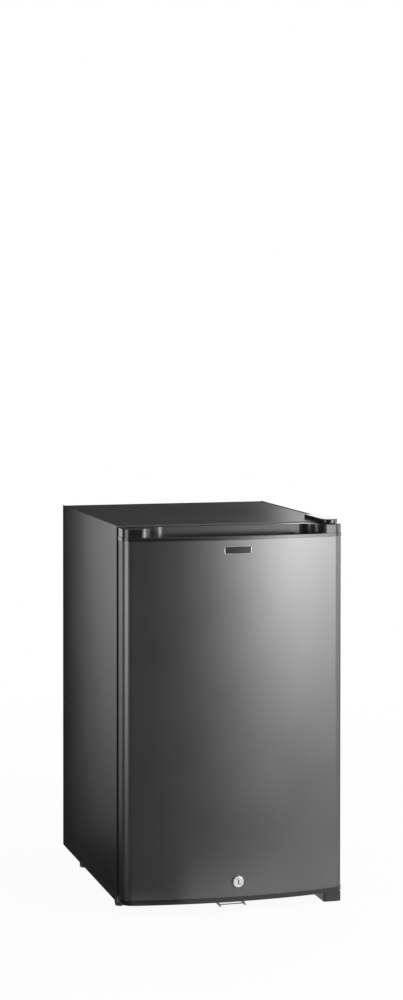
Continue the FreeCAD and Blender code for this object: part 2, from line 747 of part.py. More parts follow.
def hinge_foot():
    """Moulded foot that hides the lower hinge plate and carries the right front of the cabinet."""
    right = half_width - HINGE_FOOT_SIDE_INSET
    left = right - HINGE_FOOT_WIDTH
    front = front_y - HINGE_FOOT_FRONT
    back = front_y + HINGE_FOOT_BACK
    block = box(left, right, front, back, 0, HINGE_FOOT_TOP)
    uprights = edges_on(block, near("y", front), near("x", left))
    uprights += edges_on(block, near("y", front), near("x", right))
    block = block.makeFillet(HINGE_FOOT_ROUND, uprights)
    block = block.makeFillet(HINGE_FOOT_SOLE_ROUND, edges_on(block, near("z", 0)))
    under_base = box(left - OVERRUN, right + OVERRUN, front_y, back + OVERRUN,
                     STAND_HEIGHT, HINGE_FOOT_TOP + OVERRUN)
    half = HINGE_PLATE_WIDTH / 2
    plate_slot = box(hinge_x - half, hinge_x + half, hinge_y, back + OVERRUN, plate_bottom, STAND_HEIGHT)
    nose_slot = rod(point(hinge_x, hinge_y, plate_bottom), UP, half, HINGE_PLATE)
    washer_hole = rod(point(hinge_x, hinge_y, STAND_HEIGHT), UP, WASHER_RADIUS, HINGE_FOOT_TOP)
    heads = [rod(place - UP * (HINGE_PLATE + SCREW_HEAD_HEIGHT), UP, SCREW_HEAD_RADIUS, SCREW_HEAD_HEIGHT)
             for place in bottom_screw_places()]
    return block.cut([under_base, plate_slot, nose_slot, washer_hole] + heads)


def strike_screw_places():
    x = STRIKE_HALF + STRIKE_EAR / 2
    y = front_y + STRIKE_BACK - STRIKE_EAR_LENGTH / 2
    return [point(side * x, y, STAND_HEIGHT) for side in (-1, 1)]


def strike_bracket():
    """Bent channel that hangs below the base and reaches under the door, with a screwed ear each side."""
    front = front_y - STRIKE_FRONT
    back = front_y + STRIKE_BACK
    web_front = keeper_back_y - KEEPER_THICKNESS
    low = STRIKE_FLOOR_GAP + STRIKE_SHEET
    web = box(-STRIKE_HALF, STRIKE_HALF, web_front, back, STRIKE_FLOOR_GAP, low)
    rise = front + STRIKE_RISE_SHARE * (front_y - front)
    pieces = [web]
    for side in (-1, 1):
        outline = Part.makePolygon([
            point(0, front, STRIKE_FLOOR_GAP), point(0, back, STRIKE_FLOOR_GAP), point(0, back, STAND_HEIGHT),
            point(0, front_y, STAND_HEIGHT), point(0, rise, low + KEEPER_HEIGHT), point(0, front, low),
            point(0, front, STRIKE_FLOOR_GAP),
        ])
        cheek = Part.Face(outline).extrude(RIGHT * STRIKE_SHEET)
        cheek.translate(RIGHT * (STRIKE_HALF - STRIKE_SHEET if side > 0 else -STRIKE_HALF))
        inner, outer = sorted((side * STRIKE_HALF, side * (STRIKE_HALF + STRIKE_EAR)))
        ear = box(inner, outer, back - STRIKE_EAR_LENGTH, back, STAND_HEIGHT - STRIKE_SHEET, STAND_HEIGHT)
        pieces += [cheek, ear]
    holes = [rod(place - UP * OVERRUN, UP, SCREW_RADIUS, 2 * OVERRUN) for place in strike_screw_places()]
    return joined(*pieces).cut(holes)


def keeper_plate():
    """Plate across the front of the channel that the cam of the lock comes down behind."""
    half = STRIKE_HALF - STRIKE_SHEET
    bottom = STRIKE_FLOOR_GAP + STRIKE_SHEET
    return box(-half, half, keeper_back_y - KEEPER_THICKNESS, keeper_back_y, bottom, bottom + KEEPER_HEIGHT)


# Door

def lock_axis(y):
    return point(0, y, LOCK_HEIGHT)


def lock_rooms():
    """Room in the door for the lock: its barrel, its nut, its tail and the sweep of its cam."""
    barrel = rod(lock_axis(door_front_y - OVERRUN), BACK, LOCK_BARREL_RADIUS + LOCK_HOLE_PLAY,
                 OVERRUN + LOCK_BARREL_LENGTH + CAM_PLAY)
    nut_room = nut_seat_y + LOCK_NUT_HEIGHT + LOCK_HOLE_PLAY - door_front_y
    nut = rod(lock_axis(door_front_y), BACK, nut_reach + LOCK_HOLE_PLAY, nut_room)
    tail = rod(lock_axis(door_front_y), BACK, TAIL_SIDE, DOOR_THICKNESS - CAM_SETBACK)
    low = cam_front_y - CAM_PLAY
    high = cam_front_y + CAM_THICKNESS + CAM_SCREW_HEIGHT + CAM_PLAY
    reach = CAM_LENGTH + CAM_PLAY
    sweep = rod(lock_axis(low), BACK, reach, high - low)
    side = CAM_WIDTH / 2 + CAM_PLAY
    quarter = box(-reach, side, low, high, LOCK_HEIGHT - reach, LOCK_HEIGHT + side)
    return barrel, nut, tail, sweep.common(quarter)


def door_panel():
    skin = door_block(0, door_back_y, panel_floor, panel_top)
    skin = skin.cut(door_block(SHEET, door_back_y - SHEET, panel_floor - OVERRUN, panel_top + OVERRUN))
    half = door_half - DOOR_RETURN
    window = box(-half, half, door_back_y - OVERRUN, door_back_y + OVERRUN,
                 panel_floor - OVERRUN, panel_top + OVERRUN)
    return skin.cut([window, lock_rooms()[0]])


def handle_recess(grow, z0, z1):
    """Scoop in the top cap: a wide mouth, an S shaped end each side and a flat back, grown by a wall."""
    mouth = recess_mouth_half + grow
    rear = recess_back_half + grow
    back = door_front_y + RECESS_DEPTH + grow
    start = bow_face_y(recess_mouth_half)
    outside = door_front_y - OVERRUN
    run = mouth - rear
    climb = back - start
    swing = (run ** 2 + climb ** 2) / (4 * climb)
    bulge = math.asin(run / (2 * swing))
    sag_x = swing * math.sin(bulge / 2)
    sag_y = swing * (1 - math.cos(bulge / 2))
    middle = point(mouth - run / 2, start + climb / 2, z0)
    first = point(mouth - sag_x, start + sag_y, z0)
    second = point(rear + sag_x, back - sag_y, z0)

    def flip(place):
        return point(-place.x, place.y, place.z)

    a, b = point(mouth, start, z0), point(rear, back, z0)
    out = point(mouth, outside, z0)
    outline = Part.Wire([
        Part.LineSegment(out, a).toShape(),
        Part.Arc(a, first, middle).toShape(),
        Part.Arc(middle, second, b).toShape(),
        Part.LineSegment(b, flip(b)).toShape(),
        Part.Arc(flip(b), flip(second), flip(middle)).toShape(),
        Part.Arc(flip(middle), flip(first), flip(a)).toShape(),
        Part.LineSegment(flip(a), flip(out)).toShape(),
        Part.LineSegment(flip(out), out).toShape(),
    ])
    return Part.Face(outline).extrude(UP * (z1 - z0))


def finger_pocket(grow):
    """Trough behind the lip of the recess, where the fingers hook in to pull the door."""
    half = pocket_half + grow
    back = door_front_y + RECESS_DEPTH + grow
    bottom = band_top - POCKET_SINK - grow
    bowed = door_block(POCKET_LIP - grow, back, bottom, band_top)
    return bowed.common(box(-half, half, door_front_y, back, bottom, band_top))


def bush_place(side, z):
    return point(side * hinge_x, hinge_y, z)


def ahead_of_back(place):
    """A test that a point lies in front of the door's back plane."""
    return place.y < door_back_y - TOUCH


def door_top_cap():
    """Moulded end cap of the door: hollow, with the handle recess between two horns."""
    body = door_block(0, door_back_y, panel_top, door_top)
    body = body.makeFillet(CAP_EDGE_ROUND, edges_on(body, near("z", door_top)))
    band = door_block(-CAP_PROUD, door_back_y, panel_top, band_top)
    band = band.makeFillet(BAND_EDGE_ROUND, edges_on(band, near("z", band_top), ahead_of_back))
    hollow = door_block(CAP_WALL, door_back_y - CAP_WALL, panel_top - OVERRUN, door_top - CAP_WALL)
    shell = body.fuse(band).cut(hollow)
    inside = door_block(CAP_WALL / 2, door_back_y - CAP_WALL / 2, panel_top, door_top - CAP_WALL / 2)
    walls = handle_recess(CAP_WALL, band_top - CAP_WALL, door_top - CAP_WALL / 2).common(inside)
    bosses = [rod(bush_place(side, door_top - BUSH_LENGTH - CAP_WALL), UP, bush_radius + CAP_WALL,
                  BUSH_LENGTH + CAP_WALL / 2) for side in (-1, 1)]
    cap = shell.fuse([walls, finger_pocket(CAP_WALL)] + bosses)
    holes = [rod(bush_place(side, door_top - BUSH_LENGTH), UP, bush_radius, BUSH_LENGTH + OVERRUN)
             for side in (-1, 1)]
    cap = cap.cut([handle_recess(0, band_top, door_top + OVERRUN), finger_pocket(0)] + holes)
    return cap.removeSplitter()


def door_bottom_cap():
    body = door_block(-CAP_PROUD, door_back_y, DOOR_LIFT, panel_floor)
    body = body.makeFillet(CAP_EDGE_ROUND, edges_on(body, near("z", DOOR_LIFT), ahead_of_back))
    hollow = door_block(CAP_WALL, door_back_y - CAP_WALL, DOOR_LIFT + CAP_WALL, panel_floor + OVERRUN)
    boss = rod(bush_place(1, DOOR_LIFT), UP, bush_radius + CAP_WALL, BUSH_LENGTH)
    hole = rod(bush_place(1, DOOR_LIFT - OVERRUN), UP, bush_radius, BUSH_LENGTH + 2 * OVERRUN)
    return body.cut(hollow).fuse(boss).cut([hole, lock_rooms()[3]]).removeSplitter()


def door_bush(z):
    return ring(bush_place(1, z), UP, bush_radius, PIN_RADIUS + PIN_PLAY, BUSH_LENGTH)


def door_foam():
    rear = door_back_y - max(SHEET, DOOR_LINER)
    block = door_block(SHEET, rear, panel_floor, panel_top)
    top = door_block(CAP_WALL, door_back_y - CAP_WALL, panel_top, door_top - CAP_WALL)
    bottom = door_block(CAP_WALL, door_back_y - CAP_WALL, DOOR_LIFT + CAP_WALL, panel_floor)
    boss_top = [rod(bush_place(side, door_top - BUSH_LENGTH - CAP_WALL), UP, bush_radius + CAP_WALL,
                    BUSH_LENGTH + CAP_WALL) for side in (-1, 1)]
    boss_bottom = rod(bush_place(1, DOOR_LIFT), UP, bush_radius + CAP_WALL, BUSH_LENGTH)
    pin_room = rod(bush_place(1, DOOR_LIFT), UP, PIN_RADIUS + LOCK_HOLE_PLAY, PIN_REACH + BUSH_LENGTH)
    recess = handle_recess(CAP_WALL, band_top - CAP_WALL, door_top)
    rooms = list(lock_rooms()) + boss_top + [boss_bottom, pin_room, recess, finger_pocket(CAP_WALL)]
    return block.fuse([top, bottom]).cut(rooms).removeSplitter()


def lugs(floor):
    """Hook lugs on the inner faces of the two dikes, for one bin."""
    top = floor + BIN_HEIGHT - BIN_WALL
    found = []
    for side in (-1, 1):
        root = side * (dike_half - DIKE_WIDTH)
        tip = root - side * LUG_REACH
        for share in LUG_PLACE_SHARES:
            y = bin_front_y + share * (dike_back_y - bin_front_y)
            ends = sorted((root, tip))
            found.append(box(ends[0], ends[1], y - LUG_DEPTH / 2, y + LUG_DEPTH / 2, top - LUG_HEIGHT, top))
    return found


def door_liner():
    half = door_half - DOOR_RETURN
    plate = box(-half, half, door_back_y - DOOR_LINER, door_back_y, panel_floor, panel_top)
    dikes = []
    for side in (-1, 1):
        ends = sorted((side * dike_half, side * (dike_half - DIKE_WIDTH)))
        dike = box(ends[0], ends[1], door_back_y, dike_back_y, dike_floor, dike_roof)
        dikes.append(dike.makeFillet(DIKE_ROUND, edges_on(dike, near("y", dike_back_y))))
    hooks = [lug for floor in bin_floors for lug in lugs(floor)]
    return joined(plate, *(dikes + hooks))


def gasket_profile(width, y0, y1):
    """One layer of the seal: a rounded frame of one width about the seal's middle line."""
    low = DOOR_LIFT + GASKET_MARGIN_BOTTOM
    high = door_top - GASKET_MARGIN_TOP
    trim = (GASKET_WIDTH - width) / 2
    outer = rounded_block(gasket_half - trim, low + trim, high - trim, GASKET_CORNER, y0, y1)
    inset = trim + width
    inner = rounded_block(gasket_half - inset, low + inset, high - inset, GASKET_CORNER,
                          y0 - OVERRUN, y1 + OVERRUN)
    return outer.cut(inner)


def door_gasket():
    """Magnetic door seal: a foot on the door, a narrow neck and the bulb that meets the frame."""
    foot_y = door_back_y + GASKET_FOOT
    bulb_y = front_y - SEAT_GAP - GASKET_BULB
    layers = [
        gasket_profile(GASKET_WIDTH, door_back_y, foot_y),
        gasket_profile(GASKET_NECK_WIDTH, foot_y, bulb_y),
        gasket_profile(GASKET_WIDTH, bulb_y, front_y - SEAT_GAP),
    ]
    return joined(*layers)


def badge_plate():
    """Bare name plate, bent to the bow of the door."""
    high = panel_top - BADGE_DROP
    low = high - BADGE_HEIGHT
    half = BADGE_WIDTH / 2
    proud = door_block(-BADGE_THICKNESS, door_back_y, low, high)
    band = proud.cut(door_block(0, door_back_y + OVERRUN, low - OVERRUN, high + OVERRUN))
    return band.common(box(-half, half, door_front_y - OVERRUN, bow_y, low, high))


# Lock

def lock_barrel():
    front = door_front_y - LOCK_RIM_PROUD
    rim = rod(lock_axis(front), BACK, LOCK_RIM_RADIUS, LOCK_RIM_PROUD)
    rim = rim.makeFillet(LOCK_RIM_ROUND, edges_on(rim, near("y", front)))
    body = rod(lock_axis(door_front_y), BACK, LOCK_BARREL_RADIUS, LOCK_BARREL_LENGTH)
    bore = rod(lock_axis(front - OVERRUN), BACK, LOCK_PLUG_RADIUS + PIN_PLAY,
               OVERRUN + LOCK_RIM_PROUD + LOCK_BARREL_LENGTH + OVERRUN)
    half = LOCK_NOTCH_WIDTH / 2
    notch = box(-half, half, front - OVERRUN, front + LOCK_NOTCH_DEPTH,
                LOCK_HEIGHT, LOCK_HEIGHT + LOCK_RIM_RADIUS + OVERRUN)
    notch.rotate(lock_axis(front), BACK, -LOCK_NOTCH_TURN)
    return joined(rim, body).cut([bore, notch])


def lock_nut():
    turn = 2 * math.pi / LOCK_NUT_SIDES
    corners = []
    for step in range(LOCK_NUT_SIDES + 1):
        across, rise = nut_reach * math.cos(step * turn), nut_reach * math.sin(step * turn)
        corners.append(point(across, nut_seat_y, LOCK_HEIGHT + rise))
    nut = Part.Face(Part.makePolygon(corners)).extrude(BACK * LOCK_NUT_HEIGHT)
    return nut.cut(rod(lock_axis(door_front_y), BACK, LOCK_BARREL_RADIUS, LOCK_BARREL_LENGTH))


def lock_plug():
    core = rod(lock_axis(plug_front_y), BACK, LOCK_PLUG_RADIUS, plug_back_y - plug_front_y)
    half = TAIL_SIDE / 2
    tail = box(-half, half, plug_back_y, cam_front_y + CAM_THICKNESS, LOCK_HEIGHT - half, LOCK_HEIGHT + half)
    wide, tall = KEYWAY_WIDTH / 2, KEYWAY_HEIGHT / 2
    keyway = box(-wide, wide, plug_front_y - OVERRUN, plug_front_y + KEYWAY_DEPTH,
                 LOCK_HEIGHT - tall, LOCK_HEIGHT + tall)
    return joined(core, tail).cut(keyway)


def lock_cam():
    """Flat arm on the tail, lying level to the left when the door is free to open."""
    half = CAM_WIDTH / 2
    tip = CAM_LENGTH - half
    arm = box(-tip, 0, cam_front_y, cam_front_y + CAM_THICKNESS, LOCK_HEIGHT - half, LOCK_HEIGHT + half)
    hub = rod(lock_axis(cam_front_y), BACK, half, CAM_THICKNESS)
    end = rod(point(-tip, cam_front_y, LOCK_HEIGHT), BACK, half, CAM_THICKNESS)
    square = TAIL_SIDE / 2
    hole = box(-square, square, cam_front_y - OVERRUN, cam_front_y + CAM_THICKNESS + OVERRUN,
               LOCK_HEIGHT - square, LOCK_HEIGHT + square)
    return joined(arm, hub, end).cut(hole)


def cam_screw():
    return rod(lock_axis(cam_front_y + CAM_THICKNESS), BACK, CAM_SCREW_RADIUS, CAM_SCREW_HEIGHT)


# Bins, shelves and their rails

def door_bin(floor):
    """Open tray between the dikes, with a hooked skirt at each end that hangs on the lugs."""
    top = floor + BIN_HEIGHT
    tray_half = bin_half - LUG_REACH
    outer = box(-tray_half, tray_half, bin_front_y, bin_back_y, floor, top)
    outer = outer.makeFillet(BIN_ROUND, edges_on(outer, near("y", bin_back_y)))
    inner_half = tray_half - BIN_WALL
    inner = box(-inner_half, inner_half, bin_front_y + BIN_WALL, bin_back_y - BIN_WALL,
                floor + BIN_WALL, top + OVERRUN)
    inner = inner.makeFillet(BIN_ROUND - BIN_WALL, edges_on(inner, near("y", bin_back_y - BIN_WALL)))
    tray = outer.cut(inner)
    parts = []
    slots = []
    for side in (-1, 1):
        lip = sorted((side * tray_half, side * bin_half))
        end = dike_back_y
        parts.append(box(lip[0], lip[1], bin_front_y, end, top - BIN_WALL, top))
        skirt = sorted((side * (bin_half - BIN_WALL), side * bin_half))
        parts.append(box(skirt[0], skirt[1], bin_front_y, end, top - HOOK_DROP, top - BIN_WALL))
        for share in LUG_PLACE_SHARES:
            y = bin_front_y + share * (dike_back_y - bin_front_y)
            wide = LUG_DEPTH / 2 + LUG_PLAY
            slots.append(box(skirt[0] - OVERRUN / 2, skirt[1] + OVERRUN / 2, y - wide, y + wide,
                             top - HOOK_DROP - OVERRUN, top - BIN_WALL))
    skirts = parts[0].fuse(parts[1:]).cut(slots)
    return joined(tray, skirts)


def shelf_rails():
    rails = []
    for level in shelf_levels:
        low, high = level - groove_height / 2, level + groove_height / 2
        web = cavity_half - RAIL_WALL
        channel = box(cavity_half - RAIL_DEPTH, cavity_half, rail_front_y, rail_back_y,
                      low - RAIL_WALL, high + RAIL_WALL)
        groove = box(cavity_half - RAIL_DEPTH - OVERRUN, web, groove_front_y, groove_back_y, low, high)
        rail = channel.cut(groove)
        rails += [rail, mirrored(rail)]
    return Part.makeCompound(rails)


def wire_shelf(level):
    """Shelf of welded wire: a frame of thick wire that runs in the rails, and thin rods across it."""
    z = level - groove_height / 2 + SHELF_WIRE + SEAT_GAP
    side_x = shelf_half - SHELF_WIRE
    front, back = shelf_front_y + SHELF_WIRE, shelf_back_y - SHELF_WIRE
    length = back - front
    wires = []
    for side in (-1, 1):
        wires.append(rod(point(side * side_x, front, z), BACK, SHELF_WIRE, length))
        for y in (front, back):
            wires.append(Part.makeSphere(SHELF_WIRE, point(side * side_x, y, z)))
    for y in (front, (front + back) / 2, back):
        wires.append(rod(point(-side_x, y, z), RIGHT, SHELF_WIRE, 2 * side_x))
    pitch = 2 * side_x / (SHELF_RODS + 1)
    for index in range(SHELF_RODS):
        x = -side_x + (index + 1) * pitch
        wires.append(rod(point(x, front, z), BACK, SHELF_ROD, length))
    return joined(*wires)


# Inside fittings

def evaporator_fins():
    plate = box(-evaporator_half, evaporator_half, plate_front_y, cavity_back,
                evaporator_floor, evaporator_top)
    pitch = (2 * evaporator_half - FIN_THICKNESS) / (FIN_COUNT - 1)
    fins = []
    for index in range(FIN_COUNT):
        x = -evaporator_half + index * pitch
        fins.append(box(x, x + FIN_THICKNESS, plate_front_y - FIN_DEPTH, plate_front_y,
                        evaporator_floor, evaporator_top))
    return joined(plate, *fins)


def drip_gutter():
    """Trough under the fins, moulded in one with the spout that leads the water out at the back."""
    half = evaporator_half + GUTTER_SIDE
    front = cavity_back - GUTTER_DEPTH
    outer = box(-half, half, front, cavity_back, gutter_floor, gutter_top)
    inner = box(-half + GUTTER_WALL, half - GUTTER_WALL, front + GUTTER_WALL, cavity_back - GUTTER_WALL,
                gutter_floor + GUTTER_WALL, gutter_top + OVERRUN)
    spout_length = box_back_y + DRAIN_OUT - drain_start.y
    spout = rod(drain_start, BACK, DRAIN_RADIUS, spout_length)
    bore = rod(drain_start - BACK * OVERRUN, BACK, DRAIN_BORE, spout_length + 2 * OVERRUN)
    return joined(outer.cut(inner), spout).cut(bore)


def evaporator_tube_places():
    """The two places where the cooling tube passes through the back wall."""
    x = coil_right + RETURN_TUBE_LEAD
    return [point(side * x, cavity_back, wall_tube_z) for side in (-1, 1)]


def wall_tubes():
    """Solid rods for everything that passes through the back wall."""
    length = box_back_y - cavity_back + OVERRUN
    rods = [rod(place, BACK, EVAPORATOR_TUBE_RADIUS, length) for place in evaporator_tube_places()]
    rods.append(rod(drain_start, BACK, DRAIN_RADIUS, GUTTER_WALL + length))
    return rods


def control_housing():
    """Hollow housing on the right wall, with a bearing for the knob and a seat for the lens."""
    body = box(control_x, cavity_half, control_front_y, control_back_y, control_floor, control_top)
    body = body.makeFillet(CONTROL_ROUND, edges_on(body, near("x", control_x)))
    hollow = box(control_x + CONTROL_WALL + LENS_THICKNESS / 2, cavity_half + OVERRUN,
                 control_front_y + CONTROL_WALL, control_back_y - CONTROL_WALL,
                 control_floor + CONTROL_WALL, control_top - CONTROL_WALL)
    seat = point(control_x, knob_y, knob_z)
    bearing = rod(seat + RIGHT * CONTROL_WALL, RIGHT, KNOB_STEM_RADIUS + PIN_PLAY + CONTROL_WALL,
                  KNOB_STEM_LENGTH)
    stem_hole = rod(seat - RIGHT * OVERRUN, RIGHT, KNOB_STEM_RADIUS + PIN_PLAY, OVERRUN + KNOB_STEM_LENGTH)
    lens_seat = lens_block(control_x - OVERRUN, control_x + LENS_THICKNESS / 2)
    sensor_hole = rod(sensor_start, BACK * -1, SENSOR_RADIUS, CONTROL_WALL + OVERRUN)
    return body.cut(hollow).fuse(bearing).cut([stem_hole, lens_seat, sensor_hole]).removeSplitter()


def lens_block(x0, x1):
    half_long, half_tall = LENS_LENGTH / 2, LENS_HEIGHT / 2
    return box(x0, x1, lens_y - half_long, lens_y + half_long, knob_z - half_tall, knob_z + half_tall)


def lamp_lens():
    front = control_x - LENS_THICKNESS / 2
    lens = lens_block(front, control_x + LENS_THICKNESS / 2)
    return lens.makeFillet(min(LENS_ROUND, LENS_THICKNESS / 2), edges_on(lens, near("x", front)))


def thermostat_knob():
    """Round knob with a grip bar across its face, on a stem that turns in the housing."""
    back = control_x - KNOB_GAP
    disc_length = KNOB_LENGTH * (1 - KNOB_GRIP_SHARE)
    disc = rod(point(back - disc_length, knob_y, knob_z), RIGHT, KNOB_RADIUS, disc_length)
    disc = disc.makeFillet(KNOB_ROUND, edges_on(disc, near("x", back - disc_length)))
    half = KNOB_GRIP_WIDTH / 2
    bar = box(back - KNOB_LENGTH, back - disc_length, knob_y - half, knob_y + half,
              knob_z - KNOB_RADIUS, knob_z + KNOB_RADIUS)
    tip = point(back - KNOB_LENGTH, knob_y, knob_z)
    bar = bar.common(rod(tip, RIGHT, KNOB_RADIUS - KNOB_ROUND, KNOB_LENGTH))
    stem = rod(point(back, knob_y, knob_z), RIGHT, KNOB_STEM_RADIUS, KNOB_STEM_LENGTH)
    return joined(disc, bar, stem)


def sensor_tube():
    """Thin feeler tube from the thermostat to the side of the evaporator."""
    y = cavity_back - SENSOR_SETBACK
    start = sensor_start - BACK * CONTROL_WALL
    places = [start, point(start.x, y, start.z), point(evaporator_half, y, start.z)]
    return swept_tube(places, SENSOR_RADIUS, SENSOR_BEND)


# Cooling unit

def boiler_jacket():
    bottom = point(boiler_x, unit_y, boiler_floor)
    outside = rod(bottom, UP, BOILER_RADIUS, BOILER_HEIGHT)
    inside = rod(bottom + UP * SHEET, UP, BOILER_RADIUS - SHEET, BOILER_HEIGHT - 2 * SHEET)
    return outside.cut([inside, boiler_tube_rod(), heater_rod()])


def boiler_tube_rod():
    start = point(boiler_x, unit_y, boiler_floor - BOILER_TUBE_TAIL)
    return rod(start, UP, BOILER_TUBE_RADIUS, BOILER_HEIGHT + 2 * BOILER_TUBE_TAIL)


def heater_rod():
    x = boiler_x + BOILER_TUBE_RADIUS + HEATER_GAP + HEATER_RADIUS
    return rod(point(x, unit_y, boiler_floor - HEATER_TAIL), UP, HEATER_RADIUS, HEATER_LENGTH)


def boiler_wool():
    start = point(boiler_x, unit_y, boiler_floor + SHEET)
    filling = rod(start, UP, BOILER_RADIUS - SHEET, BOILER_HEIGHT - 2 * SHEET)
    return filling.cut([boiler_tube_rod(), heater_rod()])


def condenser_tube():
    """Tube that lifts the vapour from the boiler, bends to the left and runs level through the fins."""
    places = [
        point(boiler_x, unit_y, boiler_top + BOILER_TUBE_TAIL),
        point(boiler_x, unit_y, condenser_z),
        point(condenser_left, unit_y, condenser_z),
    ]
    return swept_tube(places, CONDENSER_RADIUS, CONDENSER_BEND)


def condenser_fins():
    sleeve_radius = CONDENSER_RADIUS + CONDENSER_SLEEVE
    start = point(-condenser_half, unit_y, condenser_z)
    shapes = [rod(start, RIGHT, sleeve_radius, 2 * condenser_half)]
    pitch = (2 * condenser_half - CONDENSER_FIN) / (CONDENSER_FINS - 1)
    tall, deep = CONDENSER_FIN_HEIGHT / 2, CONDENSER_FIN_DEPTH / 2
    for index in range(CONDENSER_FINS):
        x = -condenser_half + index * pitch
        shapes.append(box(x, x + CONDENSER_FIN, unit_y - deep, unit_y + deep,
                          condenser_z - tall, condenser_z + tall))
    bore = rod(start - RIGHT * OVERRUN, RIGHT, CONDENSER_RADIUS, 2 * (condenser_half + OVERRUN))
    return joined(*shapes).cut(bore)


def evaporator_feed():
    """Tube from the left end of the condenser down and through the back wall to the evaporator."""
    left = evaporator_tube_places()[0]
    x = condenser_left - EVAPORATOR_TUBE_LEAD
    places = [
        point(condenser_left, unit_y, condenser_z),
        point(x, unit_y, condenser_z),
        point(x, unit_y, left.z),
        point(left.x, unit_y, left.z),
        left,
    ]
    return swept_tube(places, EVAPORATOR_TUBE_RADIUS, EVAPORATOR_TUBE_BEND)


def evaporator_return():
    """Tube that brings the spent gas out of the back wall and down to the top of the absorber coil."""
    right = evaporator_tube_places()[1]
    places = [
        right,
        point(right.x, unit_y, right.z),
        point(right.x, unit_y, coil_top),
        point(coil_right, unit_y, coil_top),
    ]
    return swept_tube(places, EVAPORATOR_TUBE_RADIUS, EVAPORATOR_TUBE_BEND)


def absorber_coil():
    """Serpentine tube above the vessel: level passes joined by half turns, and a drop into the vessel."""
    places = [point(coil_right, unit_y, coil_top)]
    for index in range(COIL_PASSES):
        z = coil_top - index * coil_pitch
        last = index == COIL_PASSES - 1
        ends = (coil_left, coil_right) if index % 2 == 0 else (coil_right, coil_left)
        if last:
            places.append(point(ends[0], unit_y, z))
        else:
            places += [point(ends[0], unit_y, z), point(ends[0], unit_y, z - coil_pitch)]
    end = places[-1]
    places.append(point(end.x, unit_y, vessel_z + VESSEL_RADIUS - WELD_DEPTH))
    return swept_tube(places, COIL_RADIUS, COIL_BEND_SHARE * coil_pitch)


def absorber_vessel():
    start = point(vessel_left, unit_y, vessel_z)
    tank = rod(start, RIGHT, VESSEL_RADIUS, vessel_right - vessel_left)
    ends = edges_on(tank, near("x", vessel_left)) + edges_on(tank, near("x", vessel_right))
    return tank.makeFillet(VESSEL_END_ROUND, ends)


def liquid_return():
    """Tube from the end of the vessel across to the foot of the boiler."""
    places = [
        point(vessel_right - WELD_DEPTH, unit_y, vessel_z),
        point(boiler_x, unit_y, vessel_z),
        point(boiler_x, unit_y, boiler_floor - BOILER_TUBE_TAIL),
    ]
    return swept_tube(places, RETURN_RADIUS, RETURN_BEND)


def saddle(x, z, radius, across):
    """Bracket from the back sheet that holds a round body of the unit."""
    wide = SADDLE_WIDTH / 2
    tall = SADDLE_HEIGHT / 2
    front = unit_y - radius * (1 - SADDLE_GRIP_SHARE)
    block = box(x - wide, x + wide, box_back_y, front, z - tall, z + tall)
    start = point(x, unit_y, z) - across * SADDLE_WIDTH
    return block.cut(rod(start, across, radius, 2 * SADDLE_WIDTH))


def unit_saddles():
    reach = SADDLE_SPREAD_SHARE * (vessel_right - vessel_left)
    middle = (vessel_left + vessel_right) / 2
    saddles = [saddle(middle + side * reach, vessel_z, VESSEL_RADIUS, RIGHT) for side in (-1, 1)]
    span = SADDLE_SPREAD_SHARE * BOILER_HEIGHT
    center = boiler_floor + BOILER_HEIGHT / 2
    saddles += [saddle(boiler_x, center + side * span, BOILER_RADIUS, UP) for side in (-1, 1)]
    return Part.makeCompound(saddles)


def terminal_left():
    return -half_width + TERMINAL_SIDE_INSET


def inlet_middle():
    x = terminal_left() + TERMINAL_WIDTH / 2
    return point(x, box_back_y + TERMINAL_DEPTH, terminal_floor + INLET_PLACE_SHARE * TERMINAL_HEIGHT)


def inlet_box(grow, y0, y1):
    middle = inlet_middle()
    wide, tall = INLET_WIDTH / 2 + grow, INLET_HEIGHT / 2 + grow
    return box(middle.x - wide, middle.x + wide, y0, y1, middle.z - tall, middle.z + tall)


def terminal_box():
    left = terminal_left()
    face = box_back_y + TERMINAL_DEPTH
    body = box(left, left + TERMINAL_WIDTH, box_back_y, face,
               terminal_floor, terminal_floor + TERMINAL_HEIGHT)
    body = body.makeFillet(TERMINAL_ROUND, edges_on(body, near("y", face)))
    hollow = box(left + TERMINAL_WALL, left + TERMINAL_WIDTH - TERMINAL_WALL,
                 box_back_y - OVERRUN, face - TERMINAL_WALL,
                 terminal_floor + TERMINAL_WALL, terminal_floor + TERMINAL_HEIGHT - TERMINAL_WALL)
    return body.cut([hollow, inlet_box(INLET_WALL, face - INLET_DEPTH - INLET_WALL, face + OVERRUN)])


def power_inlet():
    face = inlet_middle().y
    shell = inlet_box(INLET_WALL, face - INLET_DEPTH - INLET_WALL, face)
    collar = inlet_box(INLET_WALL + INLET_COLLAR, face, face + INLET_WALL)
    recess = inlet_box(0, face - INLET_DEPTH, face + INLET_WALL + OVERRUN)
    return joined(shell, collar).cut(recess)


def inlet_pins():
    middle = inlet_middle()
    floor = middle.y - INLET_DEPTH
    pins = []
    for dx, dz in ((-INLET_PIN_SPREAD, 0), (0, INLET_EARTH_RISE), (INLET_PIN_SPREAD, 0)):
        x, z = middle.x + dx, middle.z + dz
        wide, tall = INLET_PIN_WIDTH / 2, INLET_PIN_HEIGHT / 2
        pins.append(box(x - wide, x + wide, floor, floor + INLET_PIN_LENGTH, z - tall, z + tall))
    return Part.makeCompound(pins)


